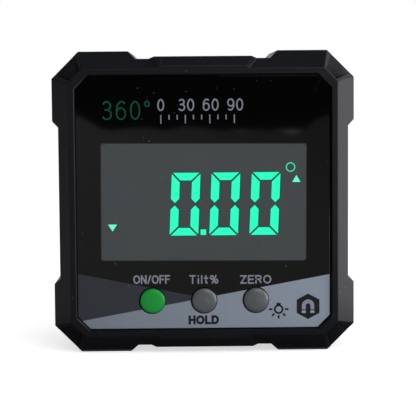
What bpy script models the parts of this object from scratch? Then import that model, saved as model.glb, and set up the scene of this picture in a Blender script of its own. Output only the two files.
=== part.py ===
"""Digital angle gauge with a magnetic base.

A square housing of two screwed shells with a bumper at each corner, a glossy front panel over a segment
display, three sprung buttons, a board with a tilt sensor, and two AAA cells behind a sealed door in the back.
Metres, +Z up, the front faces -Y. The origin lies under the middle of the gauge, on the plane of its feet.
"""

import math

import bmesh
import bpy
from mathutils import Matrix, Vector

# Housing
WIDTH = 0.061
HEIGHT = 0.061
DEPTH = 0.0325
FRONT_SHELL_DEPTH = 0.01525
FIT_GAP = 0.0003
SIDE_WALL = 0.0039
FRONT_WALL = 0.0015
BACK_WALL = 0.0022
CAVITY_CORNER_CUT = 0.0045

# Outline of the housing, seen from the front
CORNER_CUT = 0.00545
BUMPER_LENGTH_TOP = 0.01005
BUMPER_RAMP_TOP = 0.0015
NOTCH_DEPTH = 0.00155
BUMPER_LENGTH_SIDE = 0.00855
BUMPER_RAMP_SIDE = 0.0012
SIDE_RECESS = 0.0013
PAD_HALF_WIDTH = 0.0098
PAD_RAMP = 0.0010
PAD_HEIGHT = 0.00045

# Bevels of the front and back edge
FRONT_BEVEL_INSET = 0.0036
FRONT_BEVEL_DEPTH = 0.0036
RIM_CORNER_CUT = 0.0023
PAD_BEVEL_INSET = 0.0030
PAD_BEVEL_DEPTH = 0.0019
PAD_END_INSET = 0.0005
BACK_BEVEL = 0.0022
BACK_CORNER_CUT = 0.0042
POCKET_DEPTH = 0.0006
POCKET_RIB = 0.0006
ENVELOPE_STEP = 0.0001

# Front panel
PANEL_INSET = 0.0052
PANEL_CORNER_CUT = 0.0025
PANEL_RECESS = 0.0006
PANEL_THICKNESS = 0.0012

# Display, set in from the housing's edges
GLASS_SIDE_INSET = 0.008
GLASS_TOP_INSET = 0.0155
GLASS_BOTTOM_INSET = 0.0178
GLASS_THICKNESS = 0.0018
HOLDER_RIM = 0.0013
GUIDE_SIDE_INSET = 0.0012
GUIDE_BOTTOM_INSET = 0.0005
GUIDE_THICKNESS = 0.0025
STRIP_END_INSET = 0.0025
STRIP_THICKNESS = 0.0013
STRIP_MARGIN = 0.0003
LAMP_SIZE = 0.0012
LAMP_LENGTH = 0.003

# Buttons and what they press
BUTTON_RADIUS = 0.00257
BUTTON_RISE = 0.0107
BUTTON_PITCH = 0.01045
BUTTON_PROUD = 0.0005
BUTTON_TRAVEL = 0.0004
BUTTON_CROWN = 0.0001
BUTTON_EDGE = 0.0003
FLANGE_OVERHANG = 0.0008
FLANGE_THICKNESS = 0.0008
PLUNGER_RADIUS = 0.0012
SWITCH_PLAY = 0.00005
SEAL_PLAY = 0.00015
BUTTON_SEAL_THICKNESS = 0.0008
BUTTON_SEAL_MARGIN = 0.0009
SEAL_FENCE_WALL = 0.0008
SEAL_LEDGE = 0.0005
SWITCH_SIZE = 0.0052
SWITCH_BODY_HEIGHT = 0.002
SWITCH_TIP_RADIUS = 0.0015
SWITCH_TIP_HEIGHT = 0.00045

# Board
BOARD_STANDOFF = 0.00615
BOARD_THICKNESS = 0.0012
BOARD_EDGE_GAP = 0.0004
POST_RADIUS = 0.0019
POST_INSET_X = 0.0095
POST_INSET_Z = 0.011
BOARD_SCREW_RADIUS = 0.0008
BOARD_SCREW_LENGTH = 0.006
BOARD_SCREW_HEAD_RADIUS = 0.0016
BOARD_SCREW_HEAD = 0.001
CHIP_SIZE = 0.009
CHIP_HEIGHT = 0.0012
SENSOR_SIZE = 0.004
SENSOR_HEIGHT = 0.001
CHIP_X = -0.008
SENSOR_X = 0.010
CHIP_TOP_INSET = 0.0135

# Screws that hold the shells together
BOSS_INSET = 0.0067
BOSS_RADIUS = 0.0024
CASE_SCREW_RADIUS = 0.001
CASE_SCREW_LENGTH = 0.016
CASE_SCREW_HEAD_RADIUS = 0.0018
CASE_SCREW_HEAD = 0.0015
CASE_SCREW_SINK = 0.006
DRIVE_SLOT_WIDTH = 0.0005
DRIVE_SLOT_DEPTH = 0.0006
DRIVE_REACH_SHARE = 0.6
HEAD_EDGE_SHARE = 0.3

# Tongue of the front shell and the ring that it presses on in the rear shell
CASE_TONGUE = 0.0007
CASE_SEAL_WIDTH = 0.001
CASE_SEAL_THICKNESS = 0.0009
CASE_SEAL_CORNER_CUT = 0.0020
CASE_SEAL_INSET = 0.0001

# Cells and their contacts
CELL_RADIUS = 0.00525
CELL_BODY_LENGTH = 0.0433
CELL_TIP_RADIUS = 0.0019
CELL_TIP_LENGTH = 0.0012
CELL_EDGE = 0.0004
CELL_PITCH = 0.0114
CONTACT_THICKNESS = 0.0004
CONTACT_HEIGHT = 0.0088
CONTACT_WIDTH = 0.0088
CONTACT_LIFT = 0.0009
CONTACT_TAB_WIDTH = 0.003
CONTACT_TAB_REACH = 0.002
SPRING_WIRE = 0.0006
SPRING_TURNS = 3
SPRING_LENGTH = 0.0026
SPRING_WIDE_RADIUS = 0.0032
SPRING_NARROW_RADIUS = 0.0018
LEAD_DIAMETER = 0.0011
LEAD_SWAY = 0.004
LEAD_BOW = 0.003

# Battery bay and its door
BAY_FLOOR = 0.0012
BAY_WALL = 0.0027
BAY_RIB_WIDTH = 0.0012
BAY_RIB_HEIGHT = 0.002
BAY_RIB_INSET = 0.005
DOOR_THICKNESS = 0.002
DOOR_LEDGE = 0.0013
DOOR_CORNER_CUT = 0.001
DOOR_EAR_RADIUS = 0.003
DOOR_EAR_REACH = 0.0026
DOOR_SEAL_WIDTH = 0.0008
DOOR_SEAL_THICKNESS = 0.0008
DOOR_SEAL_MARGIN = 0.00025
DOOR_BOSS_RADIUS = 0.0026
DOOR_BOSS_LENGTH = 0.009
DOOR_SCREW_RADIUS = 0.0009
DOOR_SCREW_LENGTH = 0.007
DOOR_SCREW_HEAD_RADIUS = 0.0018
DOOR_SCREW_HEAD = 0.0010
TONGUE_WIDTH = 0.006
TONGUE_REACH = 0.0012
TONGUE_THICKNESS = 0.001
TONGUE_AT = 0.013

# Magnets in the feet
MAGNET_RADIUS = 0.004
MAGNET_THICKNESS = 0.0025
MAGNET_RECESS = 0.0003
MAGNET_EDGE = 0.0002

# Planes and places worked out from the sizes above
HALF_WIDTH = WIDTH / 2
HALF_HEIGHT = HEIGHT / 2
MID_Z = HEIGHT / 2
FRONT_Y = -DEPTH / 2
BACK_Y = DEPTH / 2
SPLIT_Y = FRONT_Y + FRONT_SHELL_DEPTH
REAR_SHELL_Y = SPLIT_Y + FIT_GAP
CASE_SEAL_Y = SPLIT_Y + CASE_TONGUE + FIT_GAP
PANEL_FRONT_Y = FRONT_Y + PANEL_RECESS
PANEL_BACK_Y = PANEL_FRONT_Y + PANEL_THICKNESS
WALL_FRONT_Y = PANEL_BACK_Y + FIT_GAP
WALL_BACK_Y = WALL_FRONT_Y + FRONT_WALL
GLASS_BACK_Y = WALL_FRONT_Y + GLASS_THICKNESS
BOARD_FRONT_Y = WALL_BACK_Y + BOARD_STANDOFF
BOARD_BACK_Y = BOARD_FRONT_Y + BOARD_THICKNESS
HOLDER_FRONT_Y = GLASS_BACK_Y + FIT_GAP
HOLDER_BACK_Y = BOARD_FRONT_Y - FIT_GAP
GUIDE_BACK_Y = HOLDER_FRONT_Y + GUIDE_THICKNESS
FLANGE_FRONT_Y = WALL_BACK_Y + FIT_GAP
FLANGE_BACK_Y = FLANGE_FRONT_Y + FLANGE_THICKNESS
BUTTON_SEAL_Y = FLANGE_BACK_Y + BUTTON_TRAVEL + SEAL_PLAY
SWITCH_FRONT_Y = BOARD_FRONT_Y - FIT_GAP - SWITCH_BODY_HEIGHT
SWITCH_TIP_Y = SWITCH_FRONT_Y - SWITCH_TIP_HEIGHT
PLUNGER_TIP_Y = SWITCH_TIP_Y - SWITCH_PLAY - BUTTON_TRAVEL
BACK_WALL_Y = BACK_Y - BACK_WALL
DOOR_INNER_Y = BACK_Y - DOOR_THICKNESS
DOOR_SEAT_Y = DOOR_INNER_Y - FIT_GAP
LEDGE_Y = DOOR_SEAT_Y - DOOR_SEAL_THICKNESS - FIT_GAP
BAY_LENGTH = CELL_BODY_LENGTH + CELL_TIP_LENGTH + SPRING_LENGTH + 2 * CONTACT_THICKNESS + 5 * FIT_GAP
BAY_HALF_LENGTH = BAY_LENGTH / 2
BAY_HALF_HEIGHT = CELL_PITCH / 2 + CELL_RADIUS + 2 * FIT_GAP
CELL_Y = DOOR_INNER_Y - 2 * FIT_GAP - CELL_RADIUS
BAY_FLOOR_Y = CELL_Y - CELL_RADIUS - FIT_GAP
DOOR_HALF_WIDTH = BAY_HALF_LENGTH + DOOR_LEDGE
DOOR_HALF_HEIGHT = BAY_HALF_HEIGHT + DOOR_LEDGE
EAR_Z = MID_Z + DOOR_HALF_HEIGHT + DOOR_EAR_REACH
BOSS_X = HALF_WIDTH - BOSS_INSET
BOSS_Z = HALF_HEIGHT - BOSS_INSET
CAVITY_HALF_WIDTH = HALF_WIDTH - SIDE_WALL
CAVITY_HALF_HEIGHT = HALF_HEIGHT - SIDE_WALL
FOOT_X = HALF_WIDTH - CORNER_CUT - BUMPER_LENGTH_TOP / 2
GLASS_WIDTH = WIDTH - 2 * GLASS_SIDE_INSET
GLASS_ABOVE = HALF_HEIGHT - GLASS_TOP_INSET
GLASS_BELOW = HALF_HEIGHT - GLASS_BOTTOM_INSET
GUIDE_WIDTH = GLASS_WIDTH - 2 * GUIDE_SIDE_INSET
GUIDE_HEIGHT = 2 * (GLASS_BELOW - GUIDE_BOTTOM_INSET)
STRIP_LENGTH = GLASS_WIDTH - 2 * STRIP_END_INSET
BUTTON_DROP = HALF_HEIGHT - BUTTON_RISE
BUTTON_Z = MID_Z - BUTTON_DROP
CHIP_RISE = HALF_HEIGHT - CHIP_TOP_INSET

# How far a cutter runs past what it cuts, how deep a boss roots in its wall, and the sides of round pieces
PAST = 0.001
ROOT = 0.0006
ROUND = 32
BOSS_ROUND = 24
SCREW_ROUND = 16
SPRING_ROUND = 12
LEAD_STEPS = 10
CORNERS = ((-1, -1), (1, -1), (1, 1), (-1, 1))


def chamfered(half_width, half_height, cut, grow=0.0):
    """A rectangle about the middle with its corners cut at 45 degrees, grown evenly, as x, z points."""
    half_width += grow
    half_height += grow
    cut += grow * (2 - math.sqrt(2))
    points = []
    for sx, sz in ((1, 1), (-1, 1), (-1, -1), (1, -1)):
        on_side = (sx * half_width, MID_Z + sz * (half_height - cut))
        on_top = (sx * (half_width - cut), MID_Z + sz * half_height)
        points += [on_side, on_top] if sx == sz else [on_top, on_side]
    return points


def circle(x, z, radius, steps=ROUND):
    """A round outline, as x, z points."""
    turn = 2 * math.pi / steps
    return [(x + radius * math.cos(i * turn), z + radius * math.sin(i * turn)) for i in range(steps)]


def rectangle(x, z, half_width, half_height):
    """A rectangular outline, as x, z points."""
    return [
        (x + half_width, z + half_height),
        (x - half_width, z + half_height),
        (x - half_width, z - half_height),
        (x + half_width, z - half_height),
    ]


def bumper_outline():
    """The housing's outline without the middle pads: four bumpers, each ending in a ramp on both sides."""
    side_face = HALF_HEIGHT - CORNER_CUT - BUMPER_LENGTH_SIDE
    top_face = HALF_WIDTH - CORNER_CUT - BUMPER_LENGTH_TOP
    quarter = [
        (HALF_WIDTH - SIDE_RECESS, side_face - BUMPER_RAMP_SIDE),
        (HALF_WIDTH, side_face),
        (HALF_WIDTH, HALF_HEIGHT - CORNER_CUT),
        (HALF_WIDTH - CORNER_CUT, HALF_HEIGHT),
        (top_face, HALF_HEIGHT),
        (top_face - BUMPER_RAMP_TOP, HALF_HEIGHT - NOTCH_DEPTH),
    ]
    points = []
    for sx, sz in ((1, 1), (-1, 1), (-1, -1), (1, -1)):
        run = quarter if sx == sz else quarter[::-1]
        points += [(sx * x, MID_Z + sz * z) for x, z in run]
    return points


def collection(name):
    """A new collection in the scene."""
    made = bpy.data.collections.new(name)
    bpy.context.scene.collection.children.link(made)
    return made


def material(name, colour, roughness, metallic=0.0):
    """A plain Principled material."""
    made = bpy.data.materials.new(name)
    made.use_nodes = True
    shader = made.node_tree.nodes["Principled BSDF"]
    shader.inputs["Base Color"].default_value = (*colour, 1.0)
    shader.inputs["Roughness"].default_value = roughness
    shader.inputs["Metallic"].default_value = metallic
    return made


def add_loft(bm, sections):
    """Adds a closed solid that runs along Y through sections, each a y and an outline with as many points."""
    rings = [[bm.verts.new((x, y, z)) for x, z in outline] for y, outline in sections]
    for near, far in zip(rings, rings[1:]):
        for i in range(len(near)):
            bm.faces.new((near[i - 1], near[i], far[i], far[i - 1]))
    bm.faces.new(rings[0])
    bm.faces.new(rings[-1])


def add_prism(bm, outline, y_front, y_back):
    """Adds an outline pushed out along Y."""
    add_loft(bm, [(y_front, outline), (y_back, outline)])


def add_box(bm, low, high):
    """Adds a box between two corners."""
    size = [b - a for a, b in zip(low, high)]
    middle = [(a + b) / 2 for a, b in zip(low, high)]
    bmesh.ops.create_cube(bm, size=1, matrix=Matrix.Translation(middle) @ Matrix.Diagonal((*size, 1)))


def finish(name, bm, group, finish_material=None, location=(0, 0, 0)):
    """Makes an object from a bmesh, with its normals outwards. Without a material it is a cutter."""
    bmesh.ops.recalc_face_normals(bm, faces=bm.faces)
    mesh = bpy.data.meshes.new(name)
    bm.to_mesh(mesh)
    bm.free()
    made = bpy.data.objects.new(name, mesh)
    made.location = location
    group.objects.link(made)
    if finish_material:
        mesh.materials.append(finish_material)
        mesh.shade_smooth()
        mesh.set_sharp_from_angle(angle=math.radians(30))
    else:
        made.hide_render = True
        made.display_type = "WIRE"
    return made


def combine(part, tool, operation):
    """Puts a Boolean with the tool on the part."""
    modifier = part.modifiers.new(tool.name, "BOOLEAN")
    modifier.operation = operation
    modifier.solver = "EXACT"
    modifier.object = tool


def cutter(name, build, *parameters):
    """An object for Booleans, filled by a function that takes its bmesh."""
    bm = bmesh.new()
    build(bm, *parameters)
    return finish(name, bm, CUTTERS)


def turned(name, profile, location, rotation, finish_material, steps=ROUND):
    """A round piece: a profile of radius and height, from the top down its outer side, swept round Z."""
    bm = bmesh.new()
    verts = [bm.verts.new((radius, 0, height)) for radius, height in profile]
    for pair in zip(verts, verts[1:]):
        bm.edges.new(pair)
    mesh = bpy.data.meshes.new(name)
    bm.to_mesh(mesh)
    bm.free()
    mesh.materials.append(finish_material)
    made = bpy.data.objects.new(name, mesh)
    made.location = location
    made.rotation_euler = rotation
    PARTS.objects.link(made)
    sweep = made.modifiers.new("Turn", "SCREW")
    sweep.axis = "Z"
    sweep.angle = 2 * math.pi
    sweep.steps = steps
    sweep.render_steps = steps
    sweep.use_merge_vertices = True
    sweep.merge_threshold = 0.00001
    return made


FACING_FRONT = (math.pi / 2, 0, 0)
FACING_BACK = (-math.pi / 2, 0, 0)
FACING_RIGHT = (0, math.pi / 2, 0)
FACING_LEFT = (0, -math.pi / 2, 0)


def screw(name, location, radius, length, head_radius, head_height, steel):
    """A pan-head screw whose head sits at the location and points to the back, with a cross drive."""
    round_edge = head_height * HEAD_EDGE_SHARE
    profile = [
        (0, head_height),
        (head_radius - round_edge, head_height),
        (head_radius, head_height - round_edge),
        (head_radius, 0),
        (radius, 0),
        (radius, radius - length),
        (0, -length),
    ]
    made = turned(name, profile, location, FACING_BACK, steel, SCREW_ROUND)
    x, y, z = location
    reach = head_radius * DRIVE_REACH_SHARE
    half = DRIVE_SLOT_WIDTH / 2
    cross = [
        (half, half), (half, reach), (-half, reach), (-half, half), (-reach, half), (-reach, -half),
        (-half, -half), (-half, -reach), (half, -reach), (half, -half), (reach, -half), (reach, half),
    ]
    outline = [(x + cx, z + cz) for cx, cz in cross]
    top = y + head_height
    drive = cutter(name + "_drive", add_prism, outline, top - DRIVE_SLOT_DEPTH, top + PAST)
    combine(made, drive, "DIFFERENCE")
    return made


def pad_block(bm, y_front, y_back, at_front):
    """Adds the raised pads in the middle of the top and bottom edge, with one end bevelled."""
    floor = HALF_HEIGHT - NOTCH_DEPTH
    root = floor - PAD_BEVEL_INSET - PAD_RAMP
    top = floor + PAD_HEIGHT
    foot = PAD_HALF_WIDTH + PAD_RAMP
    crease = HALF_HEIGHT - PAD_BEVEL_INSET
    crease_half = PAD_HALF_WIDTH - PAD_END_INSET
    shape = [
        (foot, root),
        (foot, floor),
        (PAD_HALF_WIDTH, top),
        (-PAD_HALF_WIDTH, top),
        (-foot, floor),
        (-foot, root),
    ]
    ramp = PAD_RAMP * (crease - root) / (top - root)
    mouth = [
        (crease_half, root),
        (crease_half, crease - ramp),
        (crease_half - ramp, crease),
        (ramp - crease_half, crease),
        (-crease_half, crease - ramp),
        (-crease_half, root),
    ]
    for side in (1, -1):
        full = [(x, MID_Z + side * z) for x, z in shape]
        small = [(x, MID_Z + side * z) for x, z in mouth]
        if at_front:
            add_loft(bm, [(y_front, small), (y_front + PAD_BEVEL_DEPTH, full), (y_back, full)])
        else:
            add_loft(bm, [(y_front, full), (y_back - BACK_BEVEL, full), (y_back, small)])


def bevel_envelope(bm, y_flat, y_bevel_end, y_far, inset, rim_cut):
    """Adds the space that bevels an edge: it narrows to the rim at y_flat and is plain up to y_far."""
    rim = chamfered(HALF_WIDTH - inset, HALF_HEIGHT - inset, rim_cut)
    full = chamfered(HALF_WIDTH, HALF_HEIGHT, CORNER_CUT)
    wide = chamfered(HALF_WIDTH, HALF_HEIGHT, CORNER_CUT, PAST)
    step = ENVELOPE_STEP if y_far > y_flat else -ENVELOPE_STEP
    add_loft(bm, [(y_flat, rim), (y_bevel_end, full), (y_bevel_end + step, wide), (y_far, wide)])


def corner_pockets(bm):
    """Adds four tapered blocks that sink a pocket into each corner facet of the front bevel."""
    rim_reach = (2 * HALF_WIDTH - 2 * FRONT_BEVEL_INSET - RIM_CORNER_CUT) / math.sqrt(2)
    full_reach = (2 * HALF_WIDTH - CORNER_CUT) / math.sqrt(2)
    rise = full_reach - rim_reach
    slope = math.atan2(FRONT_BEVEL_DEPTH, rise)
    inner_half = RIM_CORNER_CUT / math.sqrt(2) - POCKET_RIB
    outer_half = CORNER_CUT / math.sqrt(2) - POCKET_RIB
    along = math.hypot(rise, FRONT_BEVEL_DEPTH)
    widen = (outer_half - inner_half) / along
    length = along + 2 * PAST
    for sx, sz in CORNERS:
        made = bmesh.ops.create_cube(bm, size=1)
        for vert in made["verts"]:
            reach = POCKET_RIB / 2 + (vert.co.y + 0.5) * length
            half = inner_half + widen * reach
            vert.co = (2 * vert.co.x * half, reach, -POCKET_DEPTH + (vert.co.z + 0.5) * (POCKET_DEPTH + PAST))
        outward = Vector((sx, 0, sz)).normalized()
        across = Vector((sx, 0, -sz)).normalized()
        back = Vector((0, 1, 0))
        along_facet = outward * math.cos(slope) + back * math.sin(slope)
        off_facet = outward * math.sin(slope) - back * math.cos(slope)
        x_rim = (HALF_WIDTH - FRONT_BEVEL_INSET - RIM_CORNER_CUT / 2) * sx
        z_rim = MID_Z + (HALF_HEIGHT - FRONT_BEVEL_INSET - RIM_CORNER_CUT / 2) * sz
        lie = Matrix((across, along_facet, off_facet)).transposed().to_4x4()
        place = Matrix.Translation((x_rim, FRONT_Y, z_rim)) @ lie
        bmesh.ops.transform(bm, matrix=place, verts=made["verts"])


def shell_block(name, y_front, y_back, at_front, plastic):
    """The outer form that both shells share: the bumper outline with one bevelled end, and the pads."""
    bm = bmesh.new()
    add_prism(bm, bumper_outline(), y_front, y_back)
    shell = finish(name, bm, PARTS, plastic)
    pads = cutter(name + "_pads", pad_block, y_front, y_back, at_front)
    if at_front:
        ends = (y_front, y_front + FRONT_BEVEL_DEPTH, y_back + PAST, FRONT_BEVEL_INSET, RIM_CORNER_CUT)
    else:
        ends = (y_back, y_back - BACK_BEVEL, y_front - PAST, BACK_BEVEL, BACK_CORNER_CUT)
    combine(shell, cutter(name + "_bevel", bevel_envelope, *ends), "INTERSECT")
    combine(shell, pads, "UNION")
    return shell


def case_seal_outline(grow):
    """The outer outline of the tongue and of the ring between the shells, grown by a clearance."""
    edge = CASE_SEAL_INSET + CASE_SEAL_WIDTH
    return chamfered(CAVITY_HALF_WIDTH + edge, CAVITY_HALF_HEIGHT + edge, CASE_SEAL_CORNER_CUT, grow)


def front_shell(plastic):
    """The front half of the housing, which carries the panel, the display, the buttons and the board."""
    shell = shell_block("front_shell", FRONT_Y, SPLIT_Y, True, plastic)
    combine(shell, cutter("front_pockets", corner_pockets), "DIFFERENCE")

    panel_hole = chamfered(HALF_WIDTH - PANEL_INSET, HALF_HEIGHT - PANEL_INSET, PANEL_CORNER_CUT, FIT_GAP)
    combine(shell, cutter("panel_recess", add_prism, panel_hole, FRONT_Y - PAST, WALL_FRONT_Y), "DIFFERENCE")

    cavity = chamfered(CAVITY_HALF_WIDTH, CAVITY_HALF_HEIGHT, CAVITY_CORNER_CUT)
    combine(shell, cutter("front_cavity", add_prism, cavity, WALL_BACK_Y, SPLIT_Y + PAST), "DIFFERENCE")

    def windows(bm):
        middle = MID_Z + (GLASS_ABOVE - GLASS_BELOW) / 2
        half_height = (GLASS_ABOVE + GLASS_BELOW) / 2 + FIT_GAP
        outline = rectangle(0, middle, GLASS_WIDTH / 2 + FIT_GAP, half_height)
        add_prism(bm, outline, WALL_FRONT_Y - PAST, WALL_BACK_Y + PAST)
        for x in BUTTONS.values():
            outline = circle(x, BUTTON_Z, BUTTON_RADIUS + FIT_GAP)
            add_prism(bm, outline, WALL_FRONT_Y - PAST, WALL_BACK_Y + PAST)

    combine(shell, cutter("front_windows", windows), "DIFFERENCE")

    def bosses(bm):
        root = WALL_BACK_Y - ROOT
        for sx, sz in CORNERS:
            add_prism(bm, circle(sx * BOSS_X, MID_Z + sz * BOSS_Z, BOSS_RADIUS, BOSS_ROUND), root, SPLIT_Y)
        for x, z in post_places():
            add_prism(bm, circle(x, z, POST_RADIUS, BOSS_ROUND), root, HOLDER_BACK_Y)

    combine(shell, cutter("front_bosses", bosses), "UNION")

    tongue = cutter("case_tongue", add_prism, case_seal_outline(0), SPLIT_Y - ROOT, SPLIT_Y + CASE_TONGUE)
    inner = case_seal_outline(-CASE_SEAL_WIDTH)
    tongue_inside = cutter("case_tongue_inside", add_prism, inner, SPLIT_Y - PAST, SPLIT_Y + PAST)
    combine(tongue, tongue_inside, "DIFFERENCE")
    combine(shell, tongue, "UNION")

    def fence(bm):
        half_width, half_height = button_seal_size()
        wall = FIT_GAP + SEAL_FENCE_WALL
        outer = rectangle(0, BUTTON_Z, half_width + wall, half_height + wall)
        add_prism(bm, outer, WALL_BACK_Y - ROOT, BUTTON_SEAL_Y + BUTTON_SEAL_THICKNESS)

    def fence_inside(bm):
        half_width, half_height = button_seal_size()
        inner = rectangle(0, BUTTON_Z, half_width - SEAL_LEDGE, half_height - SEAL_LEDGE)
        add_prism(bm, inner, WALL_FRONT_Y, BUTTON_SEAL_Y - FIT_GAP)

    def seal_seat(bm):
        half_width, half_height = button_seal_size()
        outer = rectangle(0, BUTTON_Z, half_width + FIT_GAP, half_height + FIT_GAP)
        add_prism(bm, outer, BUTTON_SEAL_Y - FIT_GAP, BUTTON_SEAL_Y + BUTTON_SEAL_THICKNESS + PAST)

    frame = cutter("button_fence", fence)
    combine(frame, cutter("button_fence_inside", fence_inside), "DIFFERENCE")
    combine(frame, cutter("button_seal_seat", seal_seat), "DIFFERENCE")
    combine(shell, frame, "UNION")

    def holes(bm):
        for sx, sz in CORNERS:
            outline = circle(sx * BOSS_X, MID_Z + sz * BOSS_Z, CASE_SCREW_RADIUS + FIT_GAP, SCREW_ROUND)
            tip = BACK_Y - CASE_SCREW_SINK - CASE_SCREW_LENGTH
            add_prism(bm, outline, tip - PAST, SPLIT_Y + PAST)
        for x, z in post_places():
            outline = circle(x, z, BOARD_SCREW_RADIUS + FIT_GAP, SCREW_ROUND)
            tip = BOARD_BACK_Y + FIT_GAP - BOARD_SCREW_LENGTH
            add_prism(bm, outline, tip - FIT_GAP, BOARD_BACK_Y)
        magnet_pockets(bm, front_magnet_y())

    combine(shell, cutter("front_holes", holes), "DIFFERENCE")
    return shell


def post_places():
    """Where the board is screwed down, as x, z."""
    x = HALF_WIDTH - POST_INSET_X
    z = HALF_HEIGHT - POST_INSET_Z
    return [(sx * x, MID_Z + sz * z) for sx, sz in CORNERS]


def button_seal_size():
    """Half the width and half the height of the mat behind the buttons."""
    half_height = BUTTON_RADIUS + FLANGE_OVERHANG + BUTTON_SEAL_MARGIN
    return BUTTON_PITCH + half_height, half_height


def front_magnet_y():
    """The middle of the front shell's flat foot."""
    return (FRONT_Y + FRONT_BEVEL_DEPTH + SPLIT_Y) / 2


def rear_magnet_y():
    """The middle of the rear shell's flat foot."""
    return (REAR_SHELL_Y + BACK_Y - BACK_BEVEL) / 2


def magnet_pockets(bm, y):
    """Adds the two round pockets for a shell's magnets, open at the base."""
    radius = MAGNET_RADIUS + FIT_GAP
    top = MAGNET_RECESS + MAGNET_THICKNESS + FIT_GAP
    for side in (-1, 1):
        middle = Matrix.Translation((side * FOOT_X, y, (top - PAST) / 2))
        size = {"radius1": radius, "radius2": radius, "depth": top + PAST}
        bmesh.ops.create_cone(bm, cap_ends=True, segments=BOSS_ROUND, matrix=middle, **size)


def door_outline(grow):
    """The door's outline with the ear for its screw, grown by a clearance."""
    radius = DOOR_EAR_RADIUS + grow
    plate = chamfered(DOOR_HALF_WIDTH, DOOR_HALF_HEIGHT, DOOR_CORNER_CUT, grow)
    root = MID_Z + DOOR_HALF_HEIGHT + grow
    half_round = circle(0, EAR_Z, radius, BOSS_ROUND)[: BOSS_ROUND // 2 + 1]
    return plate[:2] + [(radius, root)] + half_round + [(-radius, root)] + plate[2:]


def rear_shell(plastic):
    """The back half of the housing, with the battery bay and the bosses for the screws."""
    shell = shell_block("rear_shell", REAR_SHELL_Y, BACK_Y, False, plastic)
    cavity = chamfered(CAVITY_HALF_WIDTH, CAVITY_HALF_HEIGHT, CAVITY_CORNER_CUT)
    combine(shell, cutter("rear_cavity", add_prism, cavity, REAR_SHELL_Y - PAST, BACK_WALL_Y), "DIFFERENCE")

    groove_floor = CASE_SEAL_Y + CASE_SEAL_THICKNESS + FIT_GAP
    groove = cutter("seal_groove", add_prism, case_seal_outline(FIT_GAP), REAR_SHELL_Y - PAST, groove_floor)
    combine(shell, groove, "DIFFERENCE")

    def bay_and_bosses(bm):
        half_height = BAY_HALF_HEIGHT + BAY_WALL
        outline = rectangle(0, MID_Z, CAVITY_HALF_WIDTH + ROOT, half_height)
        add_prism(bm, outline, BAY_FLOOR_Y - BAY_FLOOR, BACK_WALL_Y + ROOT)
        for sx, sz in CORNERS:
            outline = circle(sx * BOSS_X, MID_Z + sz * BOSS_Z, BOSS_RADIUS, BOSS_ROUND)
            add_prism(bm, outline, REAR_SHELL_Y, BACK_WALL_Y + ROOT)

    combine(shell, cutter("rear_bay", bay_and_bosses), "UNION")

    def door_boss(bm):
        outline = circle(0, EAR_Z, DOOR_BOSS_RADIUS, BOSS_ROUND)
        add_prism(bm, outline, DOOR_SEAT_Y - DOOR_BOSS_LENGTH, BACK_WALL_Y + ROOT)

    combine(shell, cutter("door_boss", door_boss), "UNION")

    bay = rectangle(0, MID_Z, BAY_HALF_LENGTH, BAY_HALF_HEIGHT)
    combine(shell, cutter("bay_inside", add_prism, bay, BAY_FLOOR_Y, BACK_Y + PAST), "DIFFERENCE")
    recess = cutter("door_recess", add_prism, door_outline(FIT_GAP), DOOR_SEAT_Y, BACK_Y + PAST)
    combine(shell, recess, "DIFFERENCE")
    ledge = chamfered(DOOR_HALF_WIDTH, DOOR_HALF_HEIGHT, DOOR_CORNER_CUT, FIT_GAP)
    combine(shell, cutter("door_ledge", add_prism, ledge, LEDGE_Y, DOOR_SEAT_Y + PAST), "DIFFERENCE")

    def rib(bm):
        half = BAY_RIB_WIDTH / 2
        end = BAY_HALF_LENGTH - BAY_RIB_INSET
        low = (-end, BAY_FLOOR_Y - ROOT, MID_Z - half)
        add_box(bm, low, (end, BAY_FLOOR_Y + BAY_RIB_HEIGHT, MID_Z + half))

    combine(shell, cutter("bay_rib", rib), "UNION")

    def holes(bm):
        sink = BACK_Y - CASE_SCREW_SINK - FIT_GAP
        for sx, sz in CORNERS:
            x = sx * BOSS_X
            z = MID_Z + sz * BOSS_Z
            shank = circle(x, z, CASE_SCREW_RADIUS + FIT_GAP, SCREW_ROUND)
            head = circle(x, z, CASE_SCREW_HEAD_RADIUS + FIT_GAP, SCREW_ROUND)
            add_loft(bm, [(REAR_SHELL_Y - PAST, shank), (sink, shank), (sink, head), (BACK_Y + PAST, head)])
        tip = BACK_Y - DOOR_SCREW_HEAD - DOOR_SCREW_LENGTH - FIT_GAP
        shank = circle(0, EAR_Z, DOOR_SCREW_RADIUS + FIT_GAP, SCREW_ROUND)
        add_prism(bm, shank, tip, DOOR_SEAT_Y + PAST)
        slot_z = MID_Z - DOOR_HALF_HEIGHT
        slot_y = DOOR_INNER_Y + TONGUE_THICKNESS + FIT_GAP
        half = TONGUE_WIDTH / 2 + FIT_GAP
        for middle in (-TONGUE_AT, TONGUE_AT):
            low = (middle - half, DOOR_SEAT_Y, slot_z - TONGUE_REACH - FIT_GAP)
            add_box(bm, low, (middle + half, slot_y, slot_z + FIT_GAP))
        half = CONTACT_TAB_WIDTH / 2 + FIT_GAP
        plate_x = BAY_HALF_LENGTH - FIT_GAP - CONTACT_THICKNESS
        for middle in (MID_Z - CELL_PITCH / 2, MID_Z + CELL_PITCH / 2):
            low = (plate_x - FIT_GAP, BAY_FLOOR_Y - BAY_FLOOR - PAST, middle - half)
            add_box(bm, low, (BAY_HALF_LENGTH, BAY_FLOOR_Y + PAST, middle + half))
        magnet_pockets(bm, rear_magnet_y())

    combine(shell, cutter("rear_holes", holes), "DIFFERENCE")
    return shell


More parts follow.
